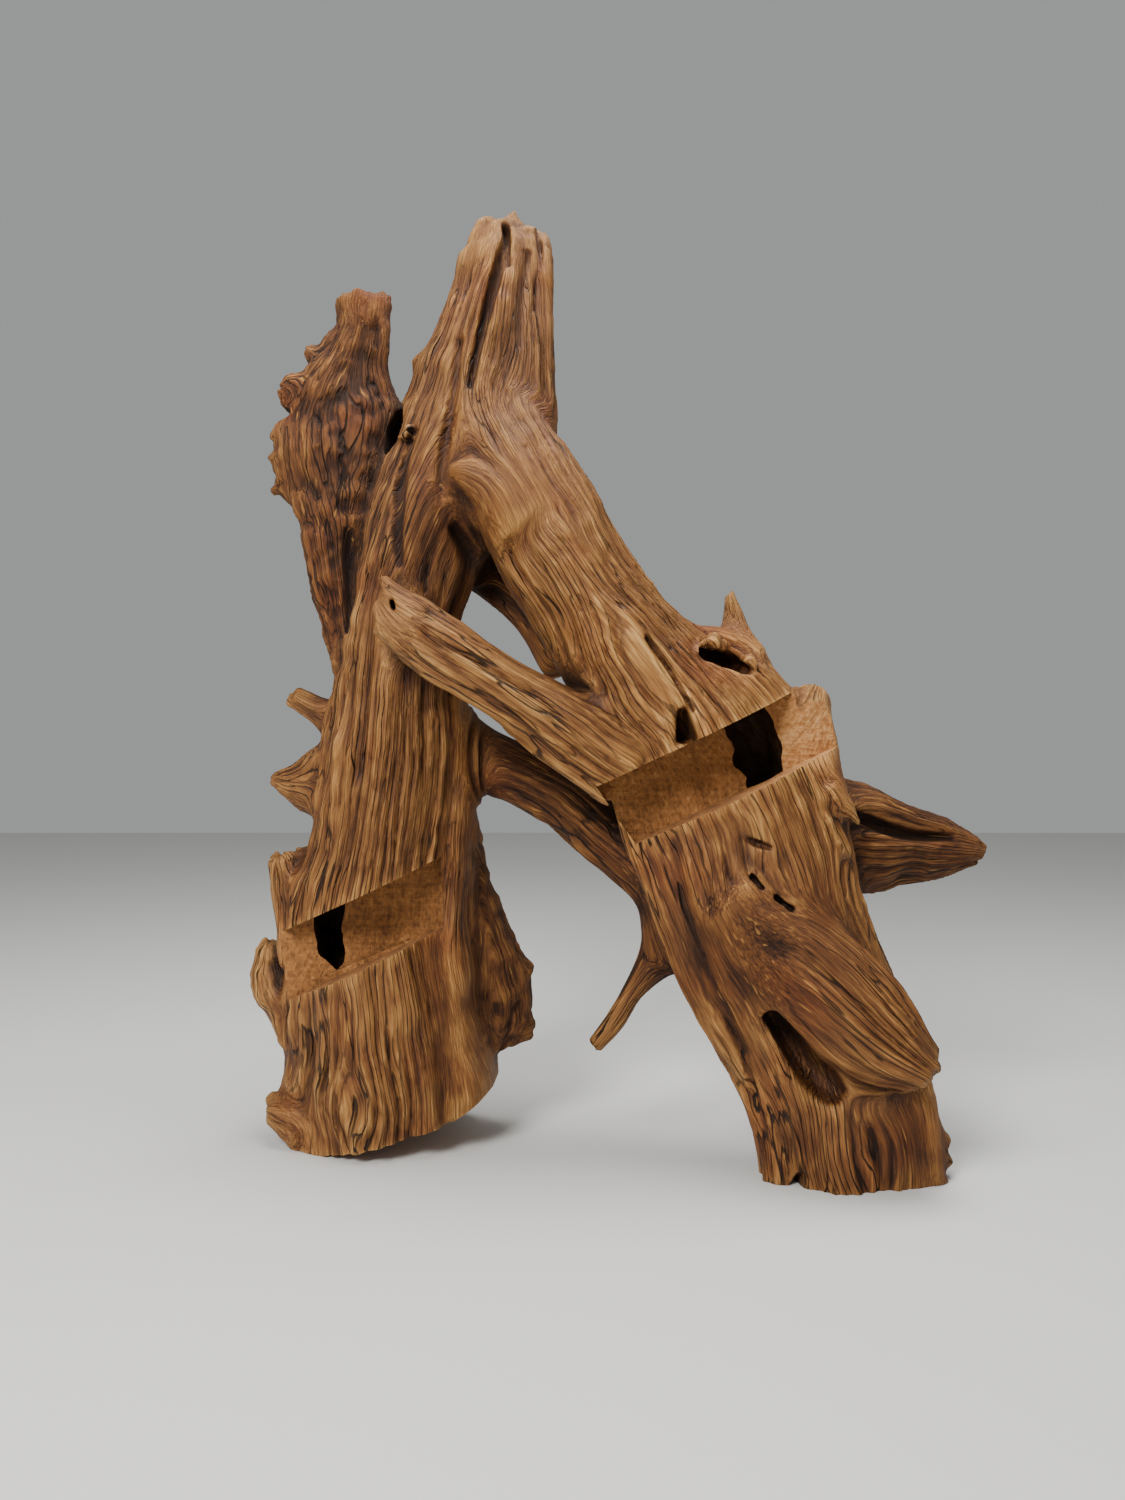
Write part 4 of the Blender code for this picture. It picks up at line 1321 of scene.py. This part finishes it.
@dataclass
class RootSkin:
    """The root itself: one skin with everything cut into it."""

    form: RootForm = field(default_factory=RootForm)
    saw_reach: float = 0.500
    floor_reach: float = 1.000
    below_floor: float = 0.300
    smooth_angle: float = math.radians(50)
    sawn_tolerance: float = 2e-4
    # The farthest and the share that a point moves towards the form at a time.
    longest_move: float = 0.012
    move_share: float = 0.85
    # How high and how wide the roughness in a rotten hole is.
    rot_broad: tuple = (0.007, 0.030)
    rot_fine: tuple = (0.003, 0.011)
    # How many times the skin is eased for its broad hollows, and what a full fine and a
    # full broad hollow measure.
    easings: int = 14
    close_hollow: float = 0.0011
    broad_hollow: float = 0.0065
    # How far out the skin looks for the painted shade of its hollows, and what each look counts
    # for.
    looks: tuple = ((0.012, 0.25), (0.030, 0.35), (0.070, 0.40))
    cuts: list[tuple[Array, Array]] = field(default_factory=list)

    def settle(self, obj: bpy.types.Object, rounds: int, fine: bool) -> None:
        """Moves the skin's points along their normals until they lie on the form.

        Args:
            obj: The skin.
            rounds: How many times to move them.
            fine: Whether the fine relief counts too.
        """
        mesh = obj.data
        for _ in range(rounds):
            points, normals = read_points(mesh), read_points(mesh, "normal")
            outside = self.form.outside(points, fine)
            move = np.clip(outside, -self.longest_move, self.longest_move)
            points -= normals * (self.move_share * move)[:, None]
            mesh.vertices.foreach_set("co", points.ravel())
            mesh.update()

    def prism(self, name: str, outline: Sequence[tuple[float, float]], front: float,
              back: float) -> bpy.types.Object:
        """Makes a straight cutter, and remembers its faces as sawn.

        Args:
            name: The cutter's name.
            outline: Its (x, z) corners.
            front: Where it starts.
            back: Where it ends.

        Returns:
            The cutter.
        """
        bm = bmesh.new()
        face = bm.faces.new([bm.verts.new((x, front, z)) for x, z in outline])
        pushed = bmesh.ops.extrude_face_region(bm, geom=[face])["geom"]
        moved = [v for v in pushed if isinstance(v, bmesh.types.BMVert)]
        bmesh.ops.translate(bm, verts=moved, vec=(0.0, back - front, 0.0))
        bmesh.ops.recalc_face_normals(bm, faces=bm.faces)
        for face in bm.faces:
            self.cuts.append((np.array(face.calc_center_median()), np.array(face.normal)))
        mesh = bpy.data.meshes.new(name)
        bm.to_mesh(mesh)
        bm.free()
        return place_in_scene(name, mesh)

    def notch(self, notch: Notch) -> bpy.types.Object:
        """The cutter for one sawn notch.

        Args:
            notch: Its sizes.

        Returns:
            The cutter.
        """
        drop = SLAB.height / math.cos(SLAB.slope)
        top_end, bottom_end, outer_end = (
            x - VIEW.middle_x for x in (notch.top_end, notch.bottom_end, notch.outer_end))
        outline = [
            (top_end, SLAB.top(top_end)),
            (outer_end, SLAB.top(outer_end)),
            (outer_end, SLAB.top(outer_end) - drop),
            (bottom_end, SLAB.top(bottom_end) - drop),
        ]
        return self.prism(notch.name, outline, -self.saw_reach, notch.wall - VIEW.middle_y)

    def soles(self) -> list[bpy.types.Object]:
        """The cutters that shape the two soles."""
        slant = [(x - VIEW.middle_x, z) for x, z in LEFT_SOLE]
        below = [(slant[-1][0], -self.below_floor), (slant[0][0], -self.below_floor)]
        side, depth = self.floor_reach, -2 * self.below_floor
        level = [(-side, 0.0), (-side, depth), (side, depth), (side, 0.0)]
        return [
            self.prism("floor_level", level, -side, side),
            self.prism("left_sole", slant + below, -self.saw_reach, self.saw_reach),
        ]

    def rotten(self) -> bpy.types.Object:
        """The cutter for the rotten holes, with an uneven surface."""
        cutter = loft("rift_cutter", self.form.rifts)
        finish_modifier(cutter, "REMESH", mode="VOXEL", voxel_size=FINE.rift_voxel)
        mesh = cutter.data
        points, normals = read_points(mesh), read_points(mesh, "normal")
        push = np.zeros(len(points))
        for (high, wide), seed in ((self.rot_broad, Seed.ROT_BROAD),
                                   (self.rot_fine, Seed.ROT_FINE)):
            push += high * lattice_noise(points / wide, seed)
        mesh.vertices.foreach_set("co", (points + normals * push[:, None]).ravel())
        mesh.update()
        return cutter

    def cut(self, obj: bpy.types.Object, cutter: bpy.types.Object) -> None:
        """Takes a cutter out of the skin, and removes the cutter.

        Args:
            obj: The skin.
            cutter: The cutter.
        """
        finish_modifier(obj, "BOOLEAN", operation="DIFFERENCE", object=cutter, solver="EXACT")
        bpy.data.objects.remove(cutter)

    def build(self) -> bpy.types.Object:
        """The finished skin, with its patterns' attributes."""
        skin = loft("root_skin", self.form.spines)
        finish_modifier(skin, "REMESH", mode="VOXEL", voxel_size=FINE.first_voxel)
        hollows = loft("hollow_cutter", self.form.hollows)
        finish_modifier(hollows, "REMESH", mode="VOXEL", voxel_size=FINE.hollow_voxel)
        self.cut(skin, hollows)
        self.settle(skin, 2, False)
        finish_modifier(skin, "REMESH", mode="VOXEL", voxel_size=FINE.skin_voxel)
        self.settle(skin, 2, True)
        finish_modifier(skin, "REMESH", mode="VOXEL", voxel_size=FINE.last_voxel)
        LOG.info("skin settled: %d points", len(skin.data.vertices))
        ratio = FINE.triangles / (2 * len(skin.data.polygons))
        finish_modifier(skin, "DECIMATE", ratio=min(1.0, ratio))
        rifts = self.rotten()
        for cutter in self.soles() + [self.notch(n) for n in NOTCHES] + [rifts]:
            self.cut(skin, cutter)
        self.mark(skin)
        return skin

    @staticmethod
    def rush(mesh: bpy.types.Mesh, ring: Array) -> Array:
        """How crowded the year rings are: past a point the mesh is too coarse for them.

        Args:
            mesh: The skin's mesh.
            ring: Which year ring each point shows.

        Returns:
            How many rings lie between each point and its neighbours.
        """
        edges = read_edges(mesh)
        gaps = np.abs(ring[edges[0::2]] - ring[edges[1::2]])
        total = np.bincount(edges, np.repeat(gaps, 2), len(ring))
        return total / np.maximum(np.bincount(edges, minlength=len(ring)), 1)

    def hollowness(self, mesh: bpy.types.Mesh, points: Array) -> Array:
        """How hollow the skin is, on two scales, for painted shade in the grooves and painted
        highlight on the ridges.

        Args:
            mesh: The skin's mesh.
            points: Its points, one a row.

        Returns:
            One value a point, below 0 on a ridge and above 0 in a groove.
        """
        edges = read_edges(mesh)
        first, second = edges[0::2], edges[1::2]
        shares = np.bincount(edges, minlength=len(points))[:, None]
        normals = read_points(mesh, "normal")

        def eased(values: Array) -> Array:
            """Averages each point's values with its neighbours'.

            Args:
                values: The values, one point a row.

            Returns:
                The averages.
            """
            total = values.copy()
            for axis in range(values.shape[1]):
                total[:, axis] += np.bincount(first, values[second, axis], len(points))
                total[:, axis] += np.bincount(second, values[first, axis], len(points))
            return total / (shares + 1)

        near = eased(eased(points))
        far = near
        for _ in range(self.easings):
            far = eased(far)
        close = ((near - points) * normals).sum(1) / self.close_hollow
        broad = ((far - points) * normals).sum(1) / self.broad_hollow
        return eased((0.55 * close + 0.75 * broad)[:, None])[:, 0]

    def occlusion_shade(self, points: Array, normals: Array) -> Array:
        """How shut in the skin is, which paints shade into its hollows.

        Args:
            points: The skin's points, one a row.
            normals: Their normals.

        Returns:
            One value a point, from 0 in the open to 1 deep in a hollow.
        """
        total = np.zeros(len(points))
        for step, share in self.looks:
            free = self.form.outside(points + normals * step, False)
            total += share * np.clip(1.0 - free / step, 0.0, 1.0)
        return total

    def mark(self, skin: bpy.types.Object) -> None:
        """Keeps the grain, the relief with its painted shade and highlight, and the tone on the
        skin, and tells sawn faces apart.

        Args:
            skin: The skin.
        """
        mesh = skin.data
        points = read_points(mesh)
        read = self.form.read(points)
        relief = self.form.relief
        grain = relief.wandered(points, read.grain)
        ring = relief.rings(points, grain)
        tone = read.tone.copy()
        # Patches of painted shade and painted light, and of the wood's own tone, are added to
        # the tone.
        for shade_spot in SHADE_AND_TONE_SPOTS:
            apart = np.hypot(points[:, 0] - shade_spot.x, points[:, 2] - shade_spot.z)
            tone += shade_spot.tone * np.exp(-(apart / shade_spot.reach) ** 2)
        store(mesh, "grain", grain)
        store(mesh, "ring", ring)
        store(mesh, "calm", read.calm * np.clip(2.2 - 2.0 * self.rush(mesh, ring), 0.0, 1.0))
        store(mesh, "tone", tone)
        store(mesh, "cavity_shade_and_wear", np.clip(self.hollowness(mesh, points), -1.0, 1.0))
        store(mesh, "occlusion_shade", self.occlusion_shade(points, read_points(mesh, "normal")))
        sawn = np.zeros(len(points), bool)
        for centre, normal in self.cuts:
            sawn |= np.abs((points - centre) @ normal) < self.sawn_tolerance
        corners = np.empty(len(mesh.loops), np.int32)
        mesh.loops.foreach_get("vertex_index", corners)
        starts = np.empty(len(mesh.polygons), np.int32)
        mesh.polygons.foreach_get("loop_start", starts)
        flat = np.logical_and.reduceat(sawn[corners], starts)
        mesh.polygons.foreach_set("material_index", flat.astype(np.int32))
        LOG.info("sawn faces: %d", int(flat.sum()))

    def dress(self, skin: bpy.types.Object) -> None:
        """Gives the skin its two finishes and smooth shading between sharp edges.

        Args:
            skin: The skin.
        """
        finishes = {Slot.WEATHERED: WeatheredWood().build(), Slot.SAWN: SawnWood().build()}
        for slot in Slot:
            skin.data.materials.append(finishes[slot])
        pick(skin)
        bpy.ops.object.shade_smooth_by_angle(angle=self.smooth_angle)


@dataclass(frozen=True)
class Lamp:
    """A soft square lamp: its place, what it aims at, its side and its power in watts."""

    name: str
    place: tuple[float, float, float]
    aim: tuple[float, float, float]
    size: float
    power: float

    def hang(self) -> None:
        """Hangs the lamp in its place."""
        light = bpy.data.lights.new(self.name, "AREA")
        light.size = self.size
        light.energy = self.power
        lamp = place_in_scene(self.name, light)
        lamp.location = self.place
        way = mathutils.Vector(np.array(self.aim) - np.array(self.place))
        lamp.rotation_euler = way.to_track_quat("-Z", "Y").to_euler()


@dataclass(frozen=True)
class Studio:
    """A plain pale floor, soft light and the camera."""

    floor_colour: str = "#d4d3cf"
    floor_roughness: float = 0.7
    floor_size: float = 14.0
    floor_height: float = -0.0005
    world_colour: str = "#dfe1e1"
    world_strength: float = 0.46
    lens: float = 27.05
    sensor: float = 36.0
    lamps: tuple[Lamp, ...] = (
        Lamp("key", (-1.6, -2.9, 2.7), (0.0, 0.0, 0.7), 1.3, 175.0),
        Lamp("top", (0.1, -0.3, 3.3), (0.0, 0.0, 0.6), 1.5, 105.0),
    )

    def floor(self) -> None:
        """The pale floor, a hair below the soles."""
        bpy.ops.object.select_all(action="DESELECT")
        bpy.ops.mesh.primitive_plane_add(
            size=self.floor_size, location=(0.0, 0.0, self.floor_height))
        floor = bpy.context.active_object
        floor.name = "floor"
        bpy.ops.object.transform_apply(location=True, rotation=True, scale=True)
        material, _, shader = new_material("pale_floor")
        shader.inputs["Base Color"].default_value = srgb(self.floor_colour)
        shader.inputs["Roughness"].default_value = self.floor_roughness
        floor.data.materials.append(material)

    def light(self) -> None:
        """A pale room, with a lamp at the front left and one above."""
        world = bpy.data.worlds.new("pale_room")
        world.use_nodes = True
        background = world.node_tree.nodes["Background"]
        background.inputs["Color"].default_value = srgb(self.world_colour)
        background.inputs["Strength"].default_value = self.world_strength
        bpy.context.scene.world = world
        for lamp in self.lamps:
            lamp.hang()

    def camera(self) -> None:
        """The camera at the front view's eye, level."""
        data = bpy.data.cameras.new("front_view")
        data.lens = self.lens
        data.sensor_width = self.sensor
        camera = place_in_scene("front_view", data)
        camera.location = (
            VIEW.eye_x - VIEW.middle_x, -VIEW.eye_distance - VIEW.middle_y, VIEW.eye_height)
        camera.rotation_euler = (math.pi / 2, 0.0, 0.0)
        bpy.context.scene.camera = camera


def main() -> None:
    """Builds the studio and the root."""
    logging.basicConfig(level=logging.INFO, format="%(message)s")
    studio = Studio()
    studio.camera()
    studio.light()
    studio.floor()
    LOG.info("studio: %d lamps", len(studio.lamps))
    root = RootSkin()
    skin = root.build()
    root.dress(skin)
    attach(skin, "root")
    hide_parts("root")
    skin.data.calc_loop_triangles()
    LOG.info("%s: %d triangles", skin.name, len(skin.data.loop_triangles))


if __name__ == "__main__":
    main()
